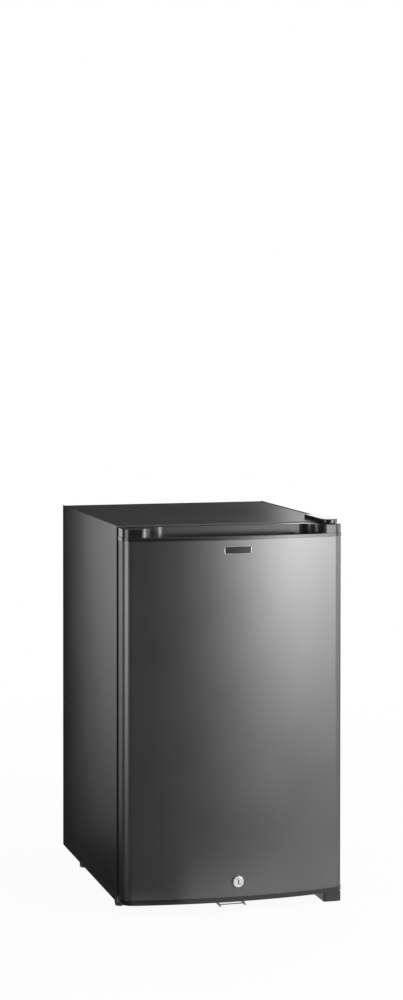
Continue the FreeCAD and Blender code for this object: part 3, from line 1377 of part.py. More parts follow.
def pieces():
    """Every piece of the fridge by name."""
    made = {
        "left_side_panel": left_side_panel(),
        "right_side_panel": mirrored(left_side_panel()),
        "top_panel": top_panel(),
        "base_panel": base_panel(),
        "back_sheet": back_sheet(),
        "front_frame": front_frame(),
        "inner_liner": inner_liner(),
        "insulation_foam": insulation_foam(),
        "hinge_anchors": hinge_anchors(),
        "top_hinge_plate": top_hinge_plate(),
        "hinge_pins": hinge_pins(),
        "pan_screws": pan_screws(),
        "top_hinge_cover": top_hinge_cover(),
        "spare_hole_plugs": spare_hole_plugs(),
        "bottom_hinge_plate": bottom_hinge_plate(),
        "thrust_washer": thrust_washer(),
        "hinge_foot": hinge_foot(),
        "round_feet": Part.makeCompound([foot(place) for place in foot_places]),
        "strike_bracket": strike_bracket(),
        "keeper_plate": keeper_plate(),
        "shelf_rails": shelf_rails(),
        "lower_shelf": wire_shelf(shelf_levels[0]),
        "upper_shelf": wire_shelf(shelf_levels[1]),
        "evaporator_fins": evaporator_fins(),
        "drip_gutter": drip_gutter(),
        "control_housing": control_housing(),
        "lamp_lens": lamp_lens(),
        "thermostat_knob": thermostat_knob(),
        "sensor_tube": sensor_tube(),
        "boiler_jacket": boiler_jacket(),
        "boiler_wool": boiler_wool(),
        "boiler_tube": boiler_tube_rod(),
        "heater_cartridge": heater_rod(),
        "condenser_tube": condenser_tube(),
        "condenser_fins": condenser_fins(),
        "evaporator_feed": evaporator_feed(),
        "evaporator_return": evaporator_return(),
        "absorber_coil": absorber_coil(),
        "absorber_vessel": absorber_vessel(),
        "liquid_return": liquid_return(),
        "unit_saddles": unit_saddles(),
        "terminal_box": terminal_box(),
        "power_inlet": power_inlet(),
        "inlet_pins": inlet_pins(),
        "door_panel": door_panel(),
        "door_top_cap": door_top_cap(),
        "door_bottom_cap": door_bottom_cap(),
        "door_foam": door_foam(),
        "door_liner": door_liner(),
        "door_gasket": door_gasket(),
        "door_bushes": Part.makeCompound([door_bush(DOOR_LIFT), door_bush(door_top - BUSH_LENGTH)]),
        "badge_plate": badge_plate(),
        "lock_barrel": lock_barrel(),
        "lock_nut": lock_nut(),
        "lock_plug": lock_plug(),
        "lock_cam": lock_cam(),
        "cam_screw": cam_screw(),
        "lower_bin": door_bin(bin_floors[0]),
        "upper_bin": door_bin(bin_floors[1]),
    }
    return made


def main():
    os.makedirs("parts", exist_ok=True)
    for name, shape in pieces().items():
        shape.exportStep("parts/" + name + ".step")
        state = "closed" if shape.isValid() else "NOT VALID"
        print(name, len(shape.Solids), "solids", round(shape.Volume), "mm3", state)


if __name__ == "__main__":
    main()
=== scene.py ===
# %% [markdown]
# # A hotel minibar, dressed
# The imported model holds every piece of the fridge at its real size. This lesson gives each
# piece its finish, adds the few soft or very small pieces that a solid model leaves plain,
# and sets up the camera and the studio. Everything is in metres, in the model's own frame:
# X to the right of someone facing the door, Y to the back, Z up, the floor at zero.

# %% The frame
import json
import math

import bmesh
import bpy
import numpy as np
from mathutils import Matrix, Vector

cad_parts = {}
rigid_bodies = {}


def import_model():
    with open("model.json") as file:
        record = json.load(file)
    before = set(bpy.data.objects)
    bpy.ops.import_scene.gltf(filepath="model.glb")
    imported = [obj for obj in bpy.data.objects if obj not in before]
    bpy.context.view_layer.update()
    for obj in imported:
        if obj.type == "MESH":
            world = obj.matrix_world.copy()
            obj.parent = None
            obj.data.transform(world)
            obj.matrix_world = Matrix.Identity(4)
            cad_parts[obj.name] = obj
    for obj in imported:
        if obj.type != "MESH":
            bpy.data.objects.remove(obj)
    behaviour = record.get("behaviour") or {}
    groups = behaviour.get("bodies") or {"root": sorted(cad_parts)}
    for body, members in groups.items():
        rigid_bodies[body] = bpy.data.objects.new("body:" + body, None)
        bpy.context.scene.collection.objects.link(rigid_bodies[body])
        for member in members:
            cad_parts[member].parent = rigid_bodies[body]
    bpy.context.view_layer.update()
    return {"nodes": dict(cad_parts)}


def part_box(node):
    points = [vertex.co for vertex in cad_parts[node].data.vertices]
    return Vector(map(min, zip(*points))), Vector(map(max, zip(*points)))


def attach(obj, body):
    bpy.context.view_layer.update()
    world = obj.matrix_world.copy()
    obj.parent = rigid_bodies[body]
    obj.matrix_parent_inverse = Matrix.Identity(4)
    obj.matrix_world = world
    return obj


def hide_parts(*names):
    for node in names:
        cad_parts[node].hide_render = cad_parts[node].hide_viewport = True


for leftover in list(bpy.data.objects):
    bpy.data.objects.remove(leftover)
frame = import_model()
MM = 0.001

# %% [markdown]
# ## Camera
# The photograph is a long lens view from the left front, a little above the fridge. The
# frame is much taller than the object and the object stands low in it, so the lens is
# shifted, as on a view camera, and the upright edges stay almost parallel. The numbers come
# from fitting the fridge's corners to their places in the photograph.

# %% The camera
PHOTO_WIDTH, PHOTO_HEIGHT = 403, 1000
FOCUS_PIXELS = 2171.0
AXIS_PIXEL = (140.4, 357.0)
CAMERA_PLACE = (-1.106, -3.8405, 1.031)
CAMERA_YAW, CAMERA_PITCH = 14.52, 1.0
FILM = 36.0


def make_camera():
    """Camera with a film as tall as the photograph, turned by a yaw and tipped by a pitch."""
    lens = bpy.data.cameras.new("camera")
    lens.sensor_width = FILM
    lens.lens = FOCUS_PIXELS * FILM / PHOTO_HEIGHT
    lens.shift_x = (PHOTO_WIDTH / 2 - AXIS_PIXEL[0]) / PHOTO_HEIGHT
    lens.shift_y = (AXIS_PIXEL[1] - PHOTO_HEIGHT / 2) / PHOTO_HEIGHT
    camera = bpy.data.objects.new("camera", lens)
    camera.location = CAMERA_PLACE
    camera.rotation_euler = (math.radians(90 - CAMERA_PITCH), 0, math.radians(-CAMERA_YAW))
    bpy.context.scene.collection.objects.link(camera)
    bpy.context.scene.camera = camera
    return camera


camera = make_camera()
print("lens", round(camera.data.lens, 1),
      "shift", round(camera.data.shift_x, 4), round(camera.data.shift_y, 4))

# %% [markdown]
# ## Shader sums in plain Python
# A finish is a little program on the surface. Typing it as node calls is long, so one class
# wraps a socket and lets `cloud - 0.5` or `grain * 0.3` add the Math nodes, and another holds a
# material and has a single method that adds any node.


# %% Sockets and finishes
class Level:
    """One number that varies over the surface: a socket with the operators that sums need."""

    def __init__(self, finish, socket):
        self.finish = finish
        self.socket = socket

    def sum(self, operation, first, second):
        return self.finish.node("ShaderNodeMath", {"operation": operation}, {0: first, 1: second})

    def __add__(self, other):
        return self.sum("ADD", self, other)

    def __radd__(self, other):
        return self.sum("ADD", other, self)

    def __sub__(self, other):
        return self.sum("SUBTRACT", self, other)

    def __mul__(self, other):
        return self.sum("MULTIPLY", self, other)

    def __rmul__(self, other):
        return self.sum("MULTIPLY", other, self)

    def __truediv__(self, other):
        return self.sum("DIVIDE", self, other)


class Finish:
    """One material: its principled shader, and the nodes that vary it over the surface."""

    def __init__(self, name, **constants):
        self.material = bpy.data.materials.new(name)
        self.material.use_nodes = True
        self.tree = self.material.node_tree
        self.shader = self.tree.nodes["Principled BSDF"]
        for word, value in constants.items():
            self.shader.inputs[SOCKETS[word]].default_value = value

    def node(self, kind, settings=None, inputs=None, out=0):
        """Adds a node: its settings first, then the values or links of its sockets."""
        made = self.tree.nodes.new(kind)
        for word, value in (settings or {}).items():
            setattr(made, word, value)
        for socket, value in (inputs or {}).items():
            self.join(made.inputs[socket], value)
        return Level(self, made.outputs[out])

    def join(self, socket, value):
        """Links a level to a socket, or sets the socket to a plain value."""
        if isinstance(value, Level):
            self.tree.links.new(value.socket, socket)
        else:
            socket.default_value = value

    def vary(self, word, value):
        """Links a varying level or colour to one socket of the shader."""
        self.join(self.shader.inputs[SOCKETS[word]], value)

    def place(self, stretch=(1, 1, 1)):
        """The surface point in metres, stretched along each axis."""
        spot = self.node("ShaderNodeTexCoord", out="Object")
        return self.node("ShaderNodeMapping", {}, {"Vector": spot, "Scale": stretch})

    def axis(self, letter):
        """One coordinate of the surface point, in metres."""
        spot = self.node("ShaderNodeTexCoord", out="Object")
        return self.node("ShaderNodeSeparateXYZ", {}, {0: spot}, out=letter)

    def noise(self, scale, rounds=3.0, stretch=(1, 1, 1)):
        """Soft clouds, so many to the metre, with so many rounds of finer ones."""
        return self.node("ShaderNodeTexNoise", {},
                         {"Vector": self.place(stretch), "Scale": scale, "Detail": rounds})

    def cells(self, scale, stretch=(1, 1, 1)):
        """Distance to the nearest of scattered points, so many to the metre."""
        return self.node("ShaderNodeTexVoronoi", {},
                         {"Vector": self.place(stretch), "Scale": scale}, out="Distance")

    def between(self, level, low, high):
        """0 below low, 1 above high and a smooth climb between them."""
        return self.node("ShaderNodeMapRange", {"interpolation_type": "SMOOTHSTEP"},
                         {"Value": level, "From Min": low, "From Max": high})

    def blend(self, level, first, second):
        """Colour that goes from the first to the second as the level goes from 0 to 1."""
        return self.node("ShaderNodeMix", {"data_type": "RGBA"},
                         {0: level, 6: first, 7: second}, out=2)

    def bump(self, height, depth, strength):
        """Raises the surface by a level times a depth in metres."""
        return self.node("ShaderNodeBump", {},
                         {"Height": height, "Distance": depth, "Strength": strength})


SOCKETS = {
    "colour": "Base Color", "rough": "Roughness", "metal": "Metallic", "normal": "Normal",
    "coat": "Coat Weight", "coat_rough": "Coat Roughness", "shine": "Specular IOR Level",
    "ior": "IOR", "clear": "Transmission Weight", "glow": "Emission Color",
    "glow_level": "Emission Strength", "edge_tint": "Specular Tint",
}


def grey(level):
    """Opaque grey of one linear level."""
    return (level, level, level, 1.0)


def scaled(colour, share):
    """The colour with each channel made a share of itself, still opaque."""
    return tuple(channel * share for channel in colour[:3]) + (1.0,)


print("shader words", sorted(SOCKETS))

# %% [markdown]
# ## Painted steel
# Cabinet and door are sheet steel with a satin charcoal coat: fine metal flake in a dark
# binder, with the faint orange peel of sprayed paint. It could be one grey, but then the
# big flat panels look like plastic, so the flake varies the colour at a tenth of a
# millimetre, the peel is a bump a few millimetres wide, and handling leaves slow changes in
# the gloss.


# %% Charcoal paint
FLAKES_PER_METRE = 5200.0
PAINT_CLOUDS_PER_METRE = 7.0
PEEL_WAVES_PER_METRE = 420.0
PEEL_DEPTH = 0.02 * MM
PAINT_DARK, PAINT_LIGHT = grey(0.105), grey(0.13)
FLAKE_SHARE = 0.55
FLAKE_SPAN = (0.1, 0.75)
PAINT_CLOUD_SPAN = (0.3, 0.7)
PAINT_ROUGH, PAINT_CLOUD_ROUGH, FLAKE_ROUGH = 0.31, 0.06, 0.04


def charcoal_paint():
    """Colour from flake and slow clouds together, gloss from both, and a bump of shallow peel."""
    paint = Finish("charcoal_paint", metal=0.9, shine=0.4, edge_tint=grey(0.6))
    flake = paint.cells(FLAKES_PER_METRE)
    cloud = paint.noise(PAINT_CLOUDS_PER_METRE)
    specks = paint.between(flake, *FLAKE_SPAN)
    drift = paint.between(cloud, *PAINT_CLOUD_SPAN)
    tone = specks * FLAKE_SHARE + drift * (1 - FLAKE_SHARE)
    paint.vary("colour", paint.blend(tone, PAINT_DARK, PAINT_LIGHT))
    paint.vary("rough", PAINT_ROUGH + cloud * PAINT_CLOUD_ROUGH + flake * FLAKE_ROUGH)
    peel = paint.noise(PEEL_WAVES_PER_METRE, rounds=2.0)
    paint.vary("normal", paint.bump(peel, PEEL_DEPTH, strength=0.35))
    return paint.material


# %% [markdown]
# ## Moulded plastics
# The caps of the door and the hinge cover are satin black mouldings, the frame and the hinge
# foot have the fine spark grain of an etched mould, and the liner is thermoformed white sheet
# with a soft sheen. One function makes them all: a colour and a gloss that drift a little
# over a hand's width, and a grain of a given width and depth that is only a bump.


# %% Plastics
CLOUDS_PER_METRE = 11.0
GLOSS_DRIFT = 0.08
STYRENE_IOR = 1.5
TRAY_COLOUR = (0.96, 0.98, 0.985, 1.0)
TRAY_ROUGH, SCUFF_ROUGH, HAZE_ROUGH = 0.04, 0.16, 0.05
SCUFFS_PER_METRE, SCUFF_STRETCH = 34.0, (1, 1, 9)
SCUFF_SPAN, SCUFF_DEPTH = (0.52, 0.75), 0.05 * MM
HAZE_PER_METRE = 9.0
COVER_DARK, COVER_LIGHT = (0.82, 0.83, 0.80, 1.0), (0.95, 0.95, 0.92, 1.0)
COVER_ROUGH, PRISM_ROUGH = 0.28, 0.2
PRISMS_PER_METRE, PRISM_DEPTH = 420.0, 0.3 * MM


def moulded(name, colour, rough, grain_width, grain_depth, drift=0.12, **constants):
    """Slow clouds darken the colour by the drift and vary the gloss; the grain is a bump."""
    plastic = Finish(name, **constants)
    grain = plastic.noise(1.0 / grain_width)
    cloud = plastic.noise(CLOUDS_PER_METRE)
    plastic.vary("colour", plastic.blend(cloud, scaled(colour, 1 - drift), colour))
    plastic.vary("rough", rough + GLOSS_DRIFT * (cloud - 0.5))
    plastic.vary("normal", plastic.bump(grain, grain_depth, strength=0.6))
    return plastic.material


def clear_styrene():
    """Transparent tray plastic with a faint blue cast, thin scuffs and moulding haze."""
    tray = Finish("clear_styrene", clear=0.96, ior=STYRENE_IOR, colour=TRAY_COLOUR)
    scuff = tray.noise(SCUFFS_PER_METRE, rounds=6.0, stretch=SCUFF_STRETCH)
    haze = tray.noise(HAZE_PER_METRE, rounds=2.0)
    scratched = tray.between(scuff, *SCUFF_SPAN)
    tray.vary("rough", TRAY_ROUGH + scratched * SCUFF_ROUGH + haze * HAZE_ROUGH)
    tray.vary("normal", tray.bump(scuff, SCUFF_DEPTH, strength=0.25))
    return tray.material


def frosted_cover():
    """Milky lamp cover with a prismatic grain on its face."""
    cover = Finish("frosted_cover", clear=0.55, ior=STYRENE_IOR, shine=0.5)
    prisms = cover.cells(PRISMS_PER_METRE)
    cover.vary("colour", cover.blend(prisms, COVER_DARK, COVER_LIGHT))
    cover.vary("rough", COVER_ROUGH + prisms * PRISM_ROUGH)
    cover.vary("normal", cover.bump(prisms, PRISM_DEPTH, strength=0.6))
    return cover.material


# %% [markdown]
# ## Bright and bare metals
# The lock is chromed die casting, the hinge plates and keeper are zinc plated, the fins are
# bare aluminium with mill lines, and the unit's tubes are black enamelled. Metals live from
# their reflections, so each gets a roughness pattern: spangle on zinc, fine lines on
# aluminium, small waves on chrome.


# %% Metals
DULL_SHARE = 0.78
SPANGLE_SHARE = 0.6
FINE_PER_SPANGLE = 2.5
FINE_ROUGH, FINE_ROUGH_OFFSET, SPANGLE_ROUGH = 0.14, 0.06, 0.05
WORN_SHARE = 1.9
RUNS_PER_METRE, RUN_STRETCH, RUN_SPAN = 60.0, (1, 1, 0.25), (0.45, 0.8)
RUN_SHARE, RUN_ROUGH = 0.7, 0.12
COAT_LEAST, COAT_RUN = 0.15, 0.25
ENAMEL_SPECKS_PER_METRE, ENAMEL_DEPTH = 900.0, 0.06 * MM
PORE_SHADE_SHARE, PORES_PER_STRAND = 0.6, 0.6
TANGLE_SHARE = 0.5


def plated(name, colour, rough, spangle_width, streak=(1, 1, 1), depth=0.01 * MM):
    """Bare or plated metal: spangle of a width dulls the colour, finer clouds vary the gloss."""
    metal = Finish(name, metal=1.0)
    spangle = metal.cells(1.0 / spangle_width, stretch=streak)
    fine = metal.noise(FINE_PER_SPANGLE / spangle_width, rounds=4.0, stretch=streak)
    tone = spangle * SPANGLE_SHARE + fine * (1 - SPANGLE_SHARE)
    metal.vary("colour", metal.blend(tone, scaled(colour, DULL_SHARE), colour))
    metal.vary("rough", rough - FINE_ROUGH_OFFSET + fine * FINE_ROUGH + spangle * SPANGLE_ROUGH)
    metal.vary("normal", metal.bump(fine, depth, strength=0.5))
    return metal.material


def enamel(name, colour, rough):
    """Brushed-on black enamel over steel tube: thin, glossy, with runs and specks."""
    coat = Finish(name, coat_rough=0.2, shine=0.5)
    runs = coat.noise(RUNS_PER_METRE, stretch=RUN_STRETCH)
    specks = coat.cells(ENAMEL_SPECKS_PER_METRE)
    worn = coat.between(runs, *RUN_SPAN)
    coat.vary("colour", coat.blend(worn, colour, scaled(colour, WORN_SHARE)))
    coat.vary("rough", rough + runs * RUN_ROUGH)
    coat.vary("coat", COAT_LEAST + runs * COAT_RUN)
    lumps = runs * RUN_SHARE + specks * (1 - RUN_SHARE)
    coat.vary("normal", coat.bump(lumps, ENAMEL_DEPTH, strength=0.5))
    return coat.material


def fibrous(name, colour, strand, depth):
    """Matt filling, such as foam or mineral wool: a tangle of cells, with painted shade in the gaps
    between them.
    """
    filling = Finish(name, rough=0.95, shine=0.2)
    tangle = filling.noise(1.0 / strand, rounds=6.0)
    pores = filling.cells(PORES_PER_STRAND / strand)
    tone = tangle * TANGLE_SHARE + pores * (1 - TANGLE_SHARE)
    # Painted shade: the colour is darker in the pores and gaps of the tangle.
    filling.vary("colour", filling.blend(tone, scaled(colour, PORE_SHADE_SHARE), colour))
    filling.vary("normal", filling.bump(tangle + pores, depth, strength=0.8))
    return filling.material


# After the name and the colour come the roughness and the width of the grain or spangle. A
# moulding then has the depth of its grain and the drift of its colour, a metal its streak.
FINISHES = {
    "charcoal_steel": charcoal_paint(),
    "black_plastic": moulded("grained_black", grey(0.016), 0.42, 0.5 * MM, 0.03 * MM),
    "black_rubber": moulded("seal_rubber", grey(0.02), 0.55, 0.4 * MM, 0.03 * MM, shine=0.35),
    "white_liner": moulded("liner_sheet", (0.80, 0.81, 0.80, 1.0), 0.34, 1.8 * MM, 0.04 * MM, 0.05),
    "nylon": moulded("nylon", (0.55, 0.54, 0.50, 1.0), 0.4, 0.7 * MM, 0.02 * MM),
    "grey_knob": moulded("knob_grey", (0.30, 0.31, 0.32, 1.0), 0.38, 0.5 * MM, 0.03 * MM),
    "terminal_plastic": moulded("terminal_black", grey(0.022), 0.45, 0.6 * MM, 0.04 * MM),
    "white_wire": moulded("wire_coat", (0.83, 0.84, 0.84, 1.0), 0.22, 1.2 * MM, 0.02 * MM, 0.04,
                          coat=0.4),
    "clear_bin": clear_styrene(),
    "frosted_lens": frosted_cover(),
    "zinc_steel": plated("zinc_plate", (0.62, 0.63, 0.64, 1.0), 0.36, 7 * MM),
    "jacket_steel": plated("jacket_sheet", (0.50, 0.51, 0.52, 1.0), 0.40, 11 * MM),
    "heater_steel": plated("heater_sleeve", (0.56, 0.54, 0.50, 1.0), 0.30, 3 * MM, (1, 1, 0.1)),
    "fin_aluminium": plated("fin_sheet", (0.78, 0.79, 0.80, 1.0), 0.34, 4 * MM, (1, 1, 0.06)),
    "copper_tube": plated("copper_alloy", (0.78, 0.50, 0.28, 1.0), 0.28, 3 * MM, (1, 0.2, 1)),
    "chrome": plated("bright_chrome", (0.82, 0.82, 0.83, 1.0), 0.12, 2.5 * MM, depth=0.004 * MM),
    "lock_zinc": plated("die_cast_zinc", (0.55, 0.55, 0.54, 1.0), 0.42, 1.5 * MM, depth=0.03 * MM),
    "badge": moulded("dark_plate", (0.008, 0.008, 0.009, 1.0), 0.24, 3.0 * MM, 0.003 * MM,
                     shine=0.3),
    "black_tube": enamel("tube_enamel", grey(0.014), 0.28),
    "black_bracket": enamel("bracket_enamel", grey(0.016), 0.36),
    "foam": fibrous("rigid_foam", (0.72, 0.62, 0.38, 1.0), 1.2 * MM, 0.6 * MM),
    "wool": fibrous("mineral_wool", (0.55, 0.50, 0.36, 1.0), 1.6 * MM, 1.2 * MM),
}
SATIN_BLACK = moulded("satin_black", grey(0.011), 0.25, 9.0 * MM, 0.004 * MM, shine=0.55)
OWN_FINISHES = {
    "base_panel": FINISHES["charcoal_steel"],
    "keeper_plate": plated("bright_zinc", (0.86, 0.87, 0.90, 1.0), 0.22, 5 * MM),
    "door_top_cap": SATIN_BLACK,
    "door_bottom_cap": SATIN_BLACK,
    "top_hinge_cover": SATIN_BLACK,
    "spare_hole_plugs": FINISHES["black_plastic"],
}
for name, node in frame["nodes"].items():
    slot = node.material_slots[0].material.name
    node.material_slots[0].material = OWN_FINISHES.get(name, FINISHES[slot])
print("finishes", len(FINISHES), "given to", len(frame["nodes"]), "nodes")

# %% [markdown]
# ## Surfaces from arrays
# The pieces below are sheets of points worked out in one go with numpy. A grid function
# gives the points, and the faces follow from the grid's rows and columns. A ring of points
# can close on itself in either direction, as on a hoop or a seal.


# %% Grids
WELD = 1e-6


def grid_faces(rows, columns, ring_rows, ring_columns):
    """Four-cornered faces between neighbours on a grid that may close on itself."""
    row, column = np.meshgrid(np.arange(rows if ring_rows else rows - 1),
                              np.arange(columns if ring_columns else columns - 1), indexing="ij")
    next_row, next_column = (row + 1) % rows, (column + 1) % columns
    corners = [row * columns + column, row * columns + next_column,
               next_row * columns + next_column, next_row * columns + column]
    return np.stack(corners, axis=-1).reshape(-1, 4)


def weld_poles(mesh):
    """Joins the points that lie in one place at a pole and turns every face outwards."""
    solid = bmesh.new()
    solid.from_mesh(mesh)
    bmesh.ops.remove_doubles(solid, verts=solid.verts, dist=WELD)
    bmesh.ops.recalc_face_normals(solid, faces=solid.faces)
    solid.to_mesh(mesh)
    solid.free()


def add_piece(name, grids, finish, body, ring_rows=True):
    """One object from one or more equal grids of points, riding on a body of the frame."""
    rows, columns = grids.shape[1:3]
    faces = grid_faces(rows, columns, ring_rows, True)
    shifts = np.arange(len(grids)) * rows * columns
    mesh = bpy.data.meshes.new(name)
    mesh.from_pydata(grids.reshape(-1, 3).tolist(), [],
                     (faces[None] + shifts[:, None, None]).reshape(-1, 4).tolist())
    weld_poles(mesh)
    mesh.polygons.foreach_set("use_smooth", np.ones(len(mesh.polygons), bool))
    mesh.materials.append(finish)
    piece = bpy.data.objects.new(name, mesh)
    bpy.context.scene.collection.objects.link(piece)
    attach(piece, body)
    print(name, len(mesh.polygons), "faces on", body)
    return piece


def rounded_loop(half, low, high, radius, steps):
    """Centres and directions along a rounded rectangle: four quarter arcs, from the right."""
    turn = np.linspace(0, math.pi / 2, steps)[None, :] + np.arange(4)[:, None] * math.pi / 2
    side = np.array([1, -1, -1, 1])[:, None]
    rise = np.array([high - radius, high - radius, low + radius, low + radius])[:, None]
    centre = np.broadcast_arrays(side * (half - radius), rise, turn)[:2]
    out = np.stack([np.cos(turn), np.sin(turn)], -1)
    return np.stack(centre, -1).reshape(-1, 2), out.reshape(-1, 2)


def full_turn(steps):
    """Equal steps round a full circle, without the last one, which is the first again."""
    return np.linspace(0, 2 * math.pi, steps + 1)[:-1]


def cushion_outline(turn, power):
    """Superellipse of unit size: the cosine and the sine, each to a power below one."""
    return [np.sign(wave) * np.abs(wave) ** power for wave in (np.cos(turn), np.sin(turn))]


# %% [markdown]
# ## Door seal
# The seal is soft extruded vinyl with a magnet in its head: a wide foot that presses into
# the door, a folded bellows and the flat head that grips the frame. The solid model only
# has three plain steps for it. Here its section is one closed outline, whose width follows
# the depth: foot, two folds, head. That outline is carried round the door.

# %% The seal
SEAL_STEPS = 44
SEAL_CORNER_STEPS = 9
SEAL_HALF = 7.0 * MM
SEAL_CORNER = 12.0 * MM
SEAL_ROUND_SHARE = 0.09
SEAL_NECK_SHARE = 0.46
SEAL_FOLD_SHARE = 0.11
SEAL_FOLDS = 4
SEAL_FOOT_SHARE, SEAL_HEAD_SHARE = 0.27, 0.66
SEAL_STEEPNESS = 40


def seal_outline(half, depth):
    """Half width against depth: wide foot and head, a neck waved for the folds, round ends."""
    along = 0.5 - 0.5 * np.cos(np.linspace(0, math.pi, SEAL_STEPS))
    foot = 1 / (1 + np.exp((along - SEAL_FOOT_SHARE) * SEAL_STEEPNESS))
    head = 1 / (1 + np.exp((SEAL_HEAD_SHARE - along) * SEAL_STEEPNESS))
    folds = SEAL_FOLD_SHARE * np.sin(along * SEAL_FOLDS * 2 * math.pi) * (1 - foot) * (1 - head)
    width = SEAL_NECK_SHARE + (1 - SEAL_NECK_SHARE) * np.maximum(foot, head) + folds
    to_end = np.minimum(np.minimum(along, 1 - along) / SEAL_ROUND_SHARE, 1)
    width = width * (1 - SEAL_ROUND_SHARE * (1 - np.sqrt(1 - (1 - to_end) ** 2)) * 2)
    side = np.stack([half * width, depth * along], -1)
    return np.concatenate([side, side[::-1] * [-1, 1]])


def door_seal():
    """The outline carried round the door, its width outwards and its depth towards the cabinet."""
    low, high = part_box("door_gasket")
    outline = seal_outline(SEAL_HALF, high.y - low.y)
    centre, out = rounded_loop(high.x - SEAL_HALF, low.z + SEAL_HALF, high.z - SEAL_HALF,
                               SEAL_CORNER, SEAL_CORNER_STEPS)
    reach = centre[:, None, :] + out[:, None, :] * (SEAL_CORNER + outline[None, :, :1])
    back = np.broadcast_to(low.y + outline[None, :, 1], reach.shape[:2])
    points = np.stack([reach[..., 0], back, reach[..., 1]], -1)
    seal = add_piece("door_seal", points[None], FINISHES["black_rubber"], "door")
    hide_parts("door_gasket")


door_seal()

# %% [markdown]
# ## Badge rim
# A thin bright rim stands round the bare plate on the door. It is a half round section
# carried along a rounded rectangle, and laid on the bow of the door, so that it follows the
# same curve as the plate that it frames.

# %% The rim
DOOR_BOW, BOW_EDGE = 17.0 * MM, 18.0 * MM
RIM_HALF, RIM_PROUD = 0.45 * MM, 1.5 * MM
RIM_CORNER = 1.6 * MM
RIM_STEPS, RIM_CORNER_STEPS = 16, 7
door_low, door_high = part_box("door_panel")
bow_half = door_high.x - BOW_EDGE
bow_radius = (bow_half ** 2 + DOOR_BOW ** 2) / (2 * DOOR_BOW)


def bow_y(x):
    """Front of the door so far from the middle: a circle through the door's foremost line."""
    return door_low.y + bow_radius - np.sqrt(bow_radius ** 2 - x ** 2)


def badge_rim():
    """An oval section carried round the plate: cosine across the rim, sine out of the door."""
    low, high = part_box("badge_plate")
    turn = full_turn(RIM_STEPS)
    centre, out = rounded_loop(high.x, low.z, high.z, RIM_CORNER, RIM_CORNER_STEPS)
    across = RIM_CORNER + RIM_HALF * np.cos(turn)[None, :, None]
    reach = centre[:, None, :] + out[:, None, :] * across
    lift = np.broadcast_to(RIM_PROUD / 2 * (1 + np.sin(turn)), reach.shape[:2])
    points = np.stack([reach[..., 0], bow_y(reach[..., 0]) - lift, reach[..., 1]], -1)
    add_piece("badge_rim", points[None], FINISHES["chrome"], "door")


badge_rim()

# %% [markdown]
# ## Key wafers
# Inside the keyhole the brass wafers of the lock catch the light. Each is a flat tongue with
# a rounded section, closed at both ends, in a short stack behind the face of the plug.

# %% The wafers
WAFERS = 5
WAFER_PITCH = 1.55 * MM
WAFER_HALF, WAFER_RISE = 0.95 * MM, 0.55 * MM
WAFER_STEPS, WAFER_POWER = 20, 0.5
WAFER_SWELL_SHARES = np.array([0.0, 0.85, 1.0, 1.0, 0.85, 0.0])
WAFER_DEPTHS = np.array([2.2, 2.2, 2.6, 8.0, 8.4, 8.4]) * MM


def key_wafers():
    """Superellipse sections along the keyway, drawn to a point at both ends to close them."""
    low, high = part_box("lock_plug")
    across, rise = cushion_outline(full_turn(WAFER_STEPS), WAFER_POWER)
    swell = WAFER_SWELL_SHARES[None, :, None]
    level = (low.z + high.z) / 2 + (np.arange(WAFERS) - (WAFERS - 1) / 2) * WAFER_PITCH
    shape = (WAFERS, len(WAFER_DEPTHS), WAFER_STEPS)
    x = np.broadcast_to(swell * across * WAFER_HALF, shape)
    y = np.broadcast_to(low.y + WAFER_DEPTHS[None, :, None], shape)
    z = level[:, None, None] + swell * rise * WAFER_RISE
    add_piece("key_wafers", np.stack([x, y, z], -1), FINISHES["copper_tube"],
              "lock", ring_rows=False)


key_wafers()

# %% [markdown]
# ## Weld beads
# The cooling unit is welded from tube. Where a tube meets the boiler, the vessel or another
# tube there is a rippled bead: a hoop whose thickness waves as the torch was moved round.

# %% The beads
BEAD = 1.7 * MM
BEAD_STEPS, BEAD_SECTION_STEPS = 96, 12
BEAD_RIPPLES, BEAD_RIPPLE_SHARE = 26, 0.16
BEAD_SWELLS, BEAD_SWELL_SHARE = 7, 0.08
LIFT_RADIUS, RETURN_RADIUS, COIL_RADIUS = 9.0 * MM, 7.0 * MM, 8.0 * MM


def bead(spot, along, radius):
    """Hoop about an axis: its section is a circle whose size ripples round the hoop."""
    turn = full_turn(BEAD_STEPS)[:, None]
    section = full_turn(BEAD_SECTION_STEPS)[None, :]
    ripple = BEAD_RIPPLE_SHARE * np.sin(turn * BEAD_RIPPLES)
    size = BEAD * (1 + ripple + BEAD_SWELL_SHARE * np.sin(turn * BEAD_SWELLS))
    reach = radius + size * np.cos(section)
    first, second = reach * np.cos(turn), reach * np.sin(turn)
    depth = np.broadcast_to(size * np.sin(section), reach.shape)
    order = {"x": (depth, first, second), "z": (first, second, depth)}
    return np.stack(order[along], -1) + np.array(spot)


def unit_beads():
    """Beads at the boiler's ends, at the fins' tube and where tubes enter the vessel."""
    tube_low, tube_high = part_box("boiler_tube")
    jacket_low, jacket_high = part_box("boiler_jacket")
    vessel_low, vessel_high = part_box("absorber_vessel")
    lift_low, lift_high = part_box("condenser_tube")
    x, y, _ = (tube_low + tube_high) / 2
    tube = (tube_high.x - tube_low.x) / 2
    coil_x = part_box("absorber_coil")[0].x + COIL_RADIUS
    hoops = [
        bead((x, y, jacket_low.z), "z", tube),
        bead((x, y, jacket_high.z), "z", tube),
        bead((x, y, tube_high.z), "z", LIFT_RADIUS + BEAD),
        bead((lift_low.x, y, lift_high.z - LIFT_RADIUS), "x", LIFT_RADIUS),
        bead((vessel_high.x, y, (vessel_low.z + vessel_high.z) / 2), "x", RETURN_RADIUS),
        bead((coil_x, y, vessel_high.z), "z", COIL_RADIUS),
    ]
    add_piece("unit_beads", np.stack(hoops), FINISHES["black_tube"], "cabinet")


unit_beads()

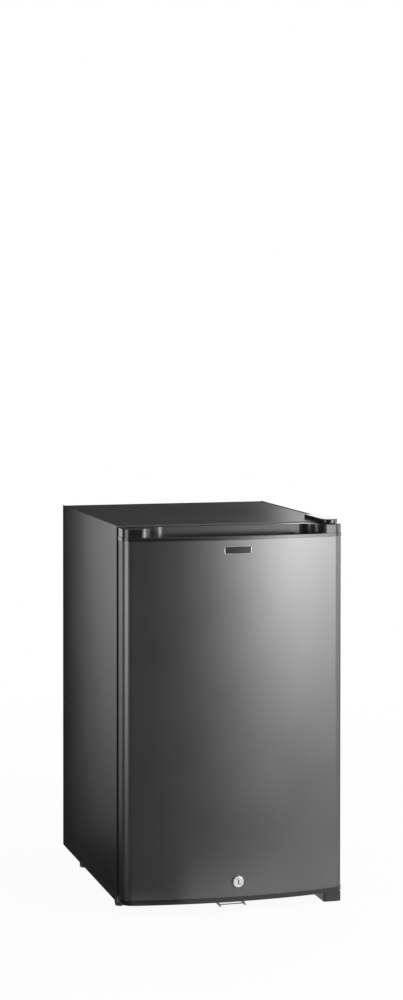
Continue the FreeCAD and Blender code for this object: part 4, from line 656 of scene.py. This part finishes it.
# %% [markdown]
# ## Dial marks
# Raised ticks round the knob show how cold it is set: each a small cushion-shaped bar, longer
# towards the cold end. They are plain marks on the housing, which stay while the knob turns.

# %% The ticks
TICKS = 7
TICK_STEPS, TICK_POWER = 24, 0.6
TICK_ARC = (math.radians(225), math.radians(-45))
TICK_REACH = 19.0 * MM
TICK_LENGTHS = (1.2 * MM, 2.8 * MM)
TICK_HALF = 0.55 * MM
TICK_SWELL_SHARES = np.array([0.0, 0.7, 0.95, 1.0, 0.0])
TICK_LIFTS = np.array([0.45, 0.42, 0.3, -0.1, -0.1]) * MM


def dial_ticks():
    """Superellipse cushions on a circle about the knob, flat on the housing, ever longer."""
    knob_low, knob_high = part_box("thermostat_knob")
    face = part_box("control_housing")[0].x
    middle = (knob_low + knob_high) / 2
    turn = np.linspace(*TICK_ARC, TICKS)[:, None, None]
    length = np.linspace(*TICK_LENGTHS, TICKS)[:, None, None]
    along, aside = cushion_outline(full_turn(TICK_STEPS), TICK_POWER)
    swell = TICK_SWELL_SHARES[None, :, None]
    reach = TICK_REACH + swell * length * along
    aside = swell * TICK_HALF * aside
    y = middle.y - reach * np.cos(turn) + aside * np.sin(turn)
    z = middle.z + reach * np.sin(turn) + aside * np.cos(turn)
    x = np.broadcast_to(face - TICK_LIFTS[None, :, None], y.shape)
    add_piece("dial_ticks", np.stack([x, y, z], -1), FINISHES["grey_knob"],
              "cabinet", ring_rows=False)


dial_ticks()

# %% [markdown]
# ## Studio
# A white sweep under a white room. The floor is mostly its own white for the camera and for
# reflections, so only a light shadow stays near the fridge. The world is white where the
# camera or a shiny surface looks at it, and softer as a light, least on the left.


# %% Floor and world
def ray_mask(tree):
    """1 for rays from the camera, or from a shiny or clear surface, and 0 for the rest."""
    path = tree.nodes.new("ShaderNodeLightPath")
    total = path.outputs["Is Camera Ray"]
    for kind in ("Is Glossy Ray", "Is Transmission Ray"):
        both = tree.nodes.new("ShaderNodeMath")
        both.operation = "MAXIMUM"
        tree.links.new(total, both.inputs[0])
        tree.links.new(path.outputs[kind], both.inputs[1])
        total = both.outputs[0]
    return total


FLOOR_HALF = 9.0
FLOOR_DROP = 0.3 * MM
WORLD_LIGHT = (0.4, 0.75)
WORLD_SIDE = (-0.7, 0.1)
FLOOR_WHITE_SHARE = 0.94
PAPER_GREY, PAPER_ROUGH = 0.9, 0.9
SHADOW_REACH = (0.7, 2.2)


def white_floor():
    """Paper that is mixed with plain white: by a share near the fridge, and fully far from it."""
    material = bpy.data.materials.new("sweep_paper")
    material.use_nodes = True
    tree = material.node_tree
    paper = tree.nodes["Principled BSDF"]
    paper.inputs["Base Color"].default_value = grey(PAPER_GREY)
    paper.inputs["Roughness"].default_value = PAPER_ROUGH
    paper.inputs["Specular IOR Level"].default_value = 0.0
    white = tree.nodes.new("ShaderNodeEmission")
    mixed = tree.nodes.new("ShaderNodeMixShader")
    spot = tree.nodes.new("ShaderNodeTexCoord")
    far = tree.nodes.new("ShaderNodeVectorMath")
    far.operation = "LENGTH"
    tree.links.new(spot.outputs["Object"], far.inputs[0])
    fade = tree.nodes.new("ShaderNodeMapRange")
    fade.interpolation_type = "SMOOTHSTEP"
    fade.inputs["From Min"].default_value, fade.inputs["From Max"].default_value = SHADOW_REACH
    fade.inputs["To Min"].default_value = FLOOR_WHITE_SHARE
    tree.links.new(far.outputs["Value"], fade.inputs["Value"])
    share = tree.nodes.new("ShaderNodeMath")
    share.operation = "MULTIPLY"
    tree.links.new(ray_mask(tree), share.inputs[0])
    tree.links.new(fade.outputs[0], share.inputs[1])
    tree.links.new(share.outputs[0], mixed.inputs[0])
    tree.links.new(paper.outputs[0], mixed.inputs[1])
    tree.links.new(white.outputs[0], mixed.inputs[2])
    tree.links.new(mixed.outputs[0], tree.nodes["Material Output"].inputs["Surface"])
    x, y = np.meshgrid([-FLOOR_HALF, FLOOR_HALF], [-FLOOR_HALF, FLOOR_HALF])
    corners = np.stack([x, y, np.full_like(x, -FLOOR_DROP)], -1).reshape(-1, 3)
    mesh = bpy.data.meshes.new("floor")
    mesh.from_pydata(corners.tolist(), [], [(0, 1, 3, 2)])
    mesh.materials.append(material)
    floor = bpy.data.objects.new("floor", mesh)
    bpy.context.scene.collection.objects.link(floor)


def white_world():
    """White for the camera and reflections; as a light, a level that climbs from left to right."""
    world = bpy.data.worlds.new("studio")
    bpy.context.scene.world = world
    world.use_nodes = True
    tree = world.node_tree
    sky = tree.nodes["Background"]
    sky.inputs["Color"].default_value = grey(1.0)
    spot = tree.nodes.new("ShaderNodeTexCoord")
    side = tree.nodes.new("ShaderNodeSeparateXYZ")
    tree.links.new(spot.outputs["Generated"], side.inputs[0])
    soft = tree.nodes.new("ShaderNodeMapRange")
    soft.interpolation_type = "SMOOTHSTEP"
    soft.inputs["From Min"].default_value, soft.inputs["From Max"].default_value = WORLD_SIDE
    soft.inputs["To Min"].default_value, soft.inputs["To Max"].default_value = WORLD_LIGHT
    tree.links.new(side.outputs["X"], soft.inputs["Value"])
    level = tree.nodes.new("ShaderNodeMapRange")
    level.inputs["To Max"].default_value = 1.0
    tree.links.new(ray_mask(tree), level.inputs["Value"])
    tree.links.new(soft.outputs[0], level.inputs["To Min"])
    tree.links.new(level.outputs[0], sky.inputs["Strength"])


white_floor()
white_world()
print("floor", FLOOR_HALF, "world light", WORLD_LIGHT)

# %% [markdown]
# ## Dark screens
# A white room would wash out the satin paint, because every panel would mirror white. So
# dark screens stand round the left of the set, as a photographer's flags do. Only shiny
# surfaces see them: they cast no shadow and the camera looks through them.

# %% The flags
FLAG_HEIGHT = 3.0
FLAG_LIFT = 2.0 * MM
FLAG_PLANS = {
    "left": [(0.85, -4.6), (-2.6, -4.6), (-2.6, 1.6), (0.68, 1.6)],
}
FLOOR_FLAGS = {
    "front": [(-2.6, -4.6), (0.8, -4.6), (-0.1, -0.3), (-2.6, -0.3)],
    "near": [(0.15, -1.5), (0.9, -1.5), (0.55, -0.52), (-0.06, -0.52)],
    "left": [(-2.6, -0.3), (-0.205, -0.3), (-0.205, 1.6), (-2.6, 1.6)],
}


def add_screen(name, points, faces, material):
    """Stage piece that only reflections see: it casts no shadow and the camera looks through it."""
    mesh = bpy.data.meshes.new(name)
    mesh.from_pydata(points.reshape(-1, 3).tolist(), [], faces.tolist())
    mesh.materials.append(material)
    screen = bpy.data.objects.new(name, mesh)
    screen.visible_camera = screen.visible_diffuse = False
    screen.visible_shadow = screen.visible_transmission = False
    bpy.context.scene.collection.objects.link(screen)
    return screen


def standing(plan, foot, top):
    """Upright sheet over a plan line: the line's points at the foot, and again at the top."""
    plan = np.array(plan)
    low = np.column_stack([plan, np.full(len(plan), foot)])
    return np.stack([low, low + [0, 0, top - foot]]), grid_faces(2, len(plan), False, False)


def dark_screens():
    """A dark wall along each plan, and flat dark cloths on the floor."""
    cloth = Finish("flag_cloth", colour=grey(0.02), rough=1.0).material
    walls = [add_screen("flag_wall_" + name, *standing(plan, 0.0, FLAG_HEIGHT), cloth)
             for name, plan in FLAG_PLANS.items()]
    mats = [add_screen("flag_floor_" + name, np.column_stack([plan, np.full(len(plan), FLAG_LIFT)]),
                       np.arange(len(plan))[None], cloth) for name, plan in FLOOR_FLAGS.items()]
    return walls + mats


flags = dark_screens()
print("flags", [flag.name for flag in flags])

# %% [markdown]
# ## Pale cards
# The left panel is seen almost edge on, so it mirrors what stands behind it on the left, and
# the rounded edges of the door mirror what stands beside them. A pale card stands in each
# place. The glow of a card climbs with the height, so the steel is bright at the top and dark
# near the floor, and it grows towards one end, which fades the panel from front to rear.

# %% The cards
CARD_FOOT, CARD_TOP = 0.01, 0.72
CARD_FULL = 0.62
CARD_FOOT_SHARE = 0.15
CARD_END_SHARE = 0.2


def glow_card(name, plan, axis, start, full, level):
    """Sheet over a plan line: it glows by the height times a smooth climb along one axis."""
    paper = Finish(name + "_paper", colour=grey(0.0), rough=1.0, shine=0.0, glow_level=level)
    climb = CARD_FOOT_SHARE + (1 - CARD_FOOT_SHARE) * (paper.axis("Z") / CARD_FULL)
    reach = CARD_END_SHARE + (1 - CARD_END_SHARE) * paper.between(paper.axis(axis), start, full)
    paper.vary("glow", paper.blend(climb * reach, grey(0.0), grey(1.0)))
    return add_screen(name, *standing(plan, CARD_FOOT, CARD_TOP), paper.material)


# Plan line from end to end, then the axis of the climb, its start and its full place.
cards = [
    glow_card("side_card", [(-0.75, 0.30), (-0.26, 0.30)], "X", -0.26, -0.44, 2.8),
    glow_card("edge_card", [(1.5, -0.8), (1.5, 0.5)], "Y", 0.5, -0.1, 4.0),
    glow_card("corner_card", [(-1.0, -0.85), (-1.0, -0.15)], "Y", -0.15, -0.40, 5.2),
]
print("cards", [card.name for card in cards])

# %% [markdown]
# ## Lamps
# Two soft lamps at the right front grade the door from right to left, as one long softbox
# would. Weak ones at the right, behind and above keep the other sides from going black.

# %% The lamps
AIM = Vector((0.0, 0.0, 0.36))


def soft_light(name, azimuth, elevation, distance, width, height, power):
    """Lamp that looks at the fridge from an azimuth to the right of the front and an elevation."""
    turn, rise = math.radians(azimuth), math.radians(elevation)
    level = math.cos(rise)
    out = Vector((math.sin(turn) * level, -math.cos(turn) * level, math.sin(rise)))
    lamp = bpy.data.lights.new(name, "AREA")
    lamp.shape = "RECTANGLE"
    lamp.size, lamp.size_y = width, height
    lamp.energy = power
    lamp_object = bpy.data.objects.new(name, lamp)
    lamp_object.location = AIM + out * distance
    lamp_object.rotation_euler = out.to_track_quat("Z", "Y").to_euler()
    lamp_object.visible_camera = False
    bpy.context.scene.collection.objects.link(lamp_object)
    return lamp_object


# Azimuth and elevation in degrees, distance, width and height in metres, power in watts.
lamps = [
    soft_light("right_softbox", 35, 8, 2.4, 0.8, 0.8, 19.0),
    soft_light("front_fill", 26, 9, 2.4, 0.6, 1.0, 12.0),
    soft_light("right_card", 80, 14, 2.4, 1.8, 2.2, 8.0),
    soft_light("back_card", 145, 13, 2.15, 0.9, 0.7, 3.0),
    soft_light("top_card", 180, 40, 2.2, 1.2, 0.8, 4.5),
]
print("lamps", [lamp.name for lamp in lamps])

# %% [markdown]
# ## Colours
# The colours are shown as they are, with no film curve.

# %% The colour view
bpy.context.scene.view_settings.view_transform = "Standard"
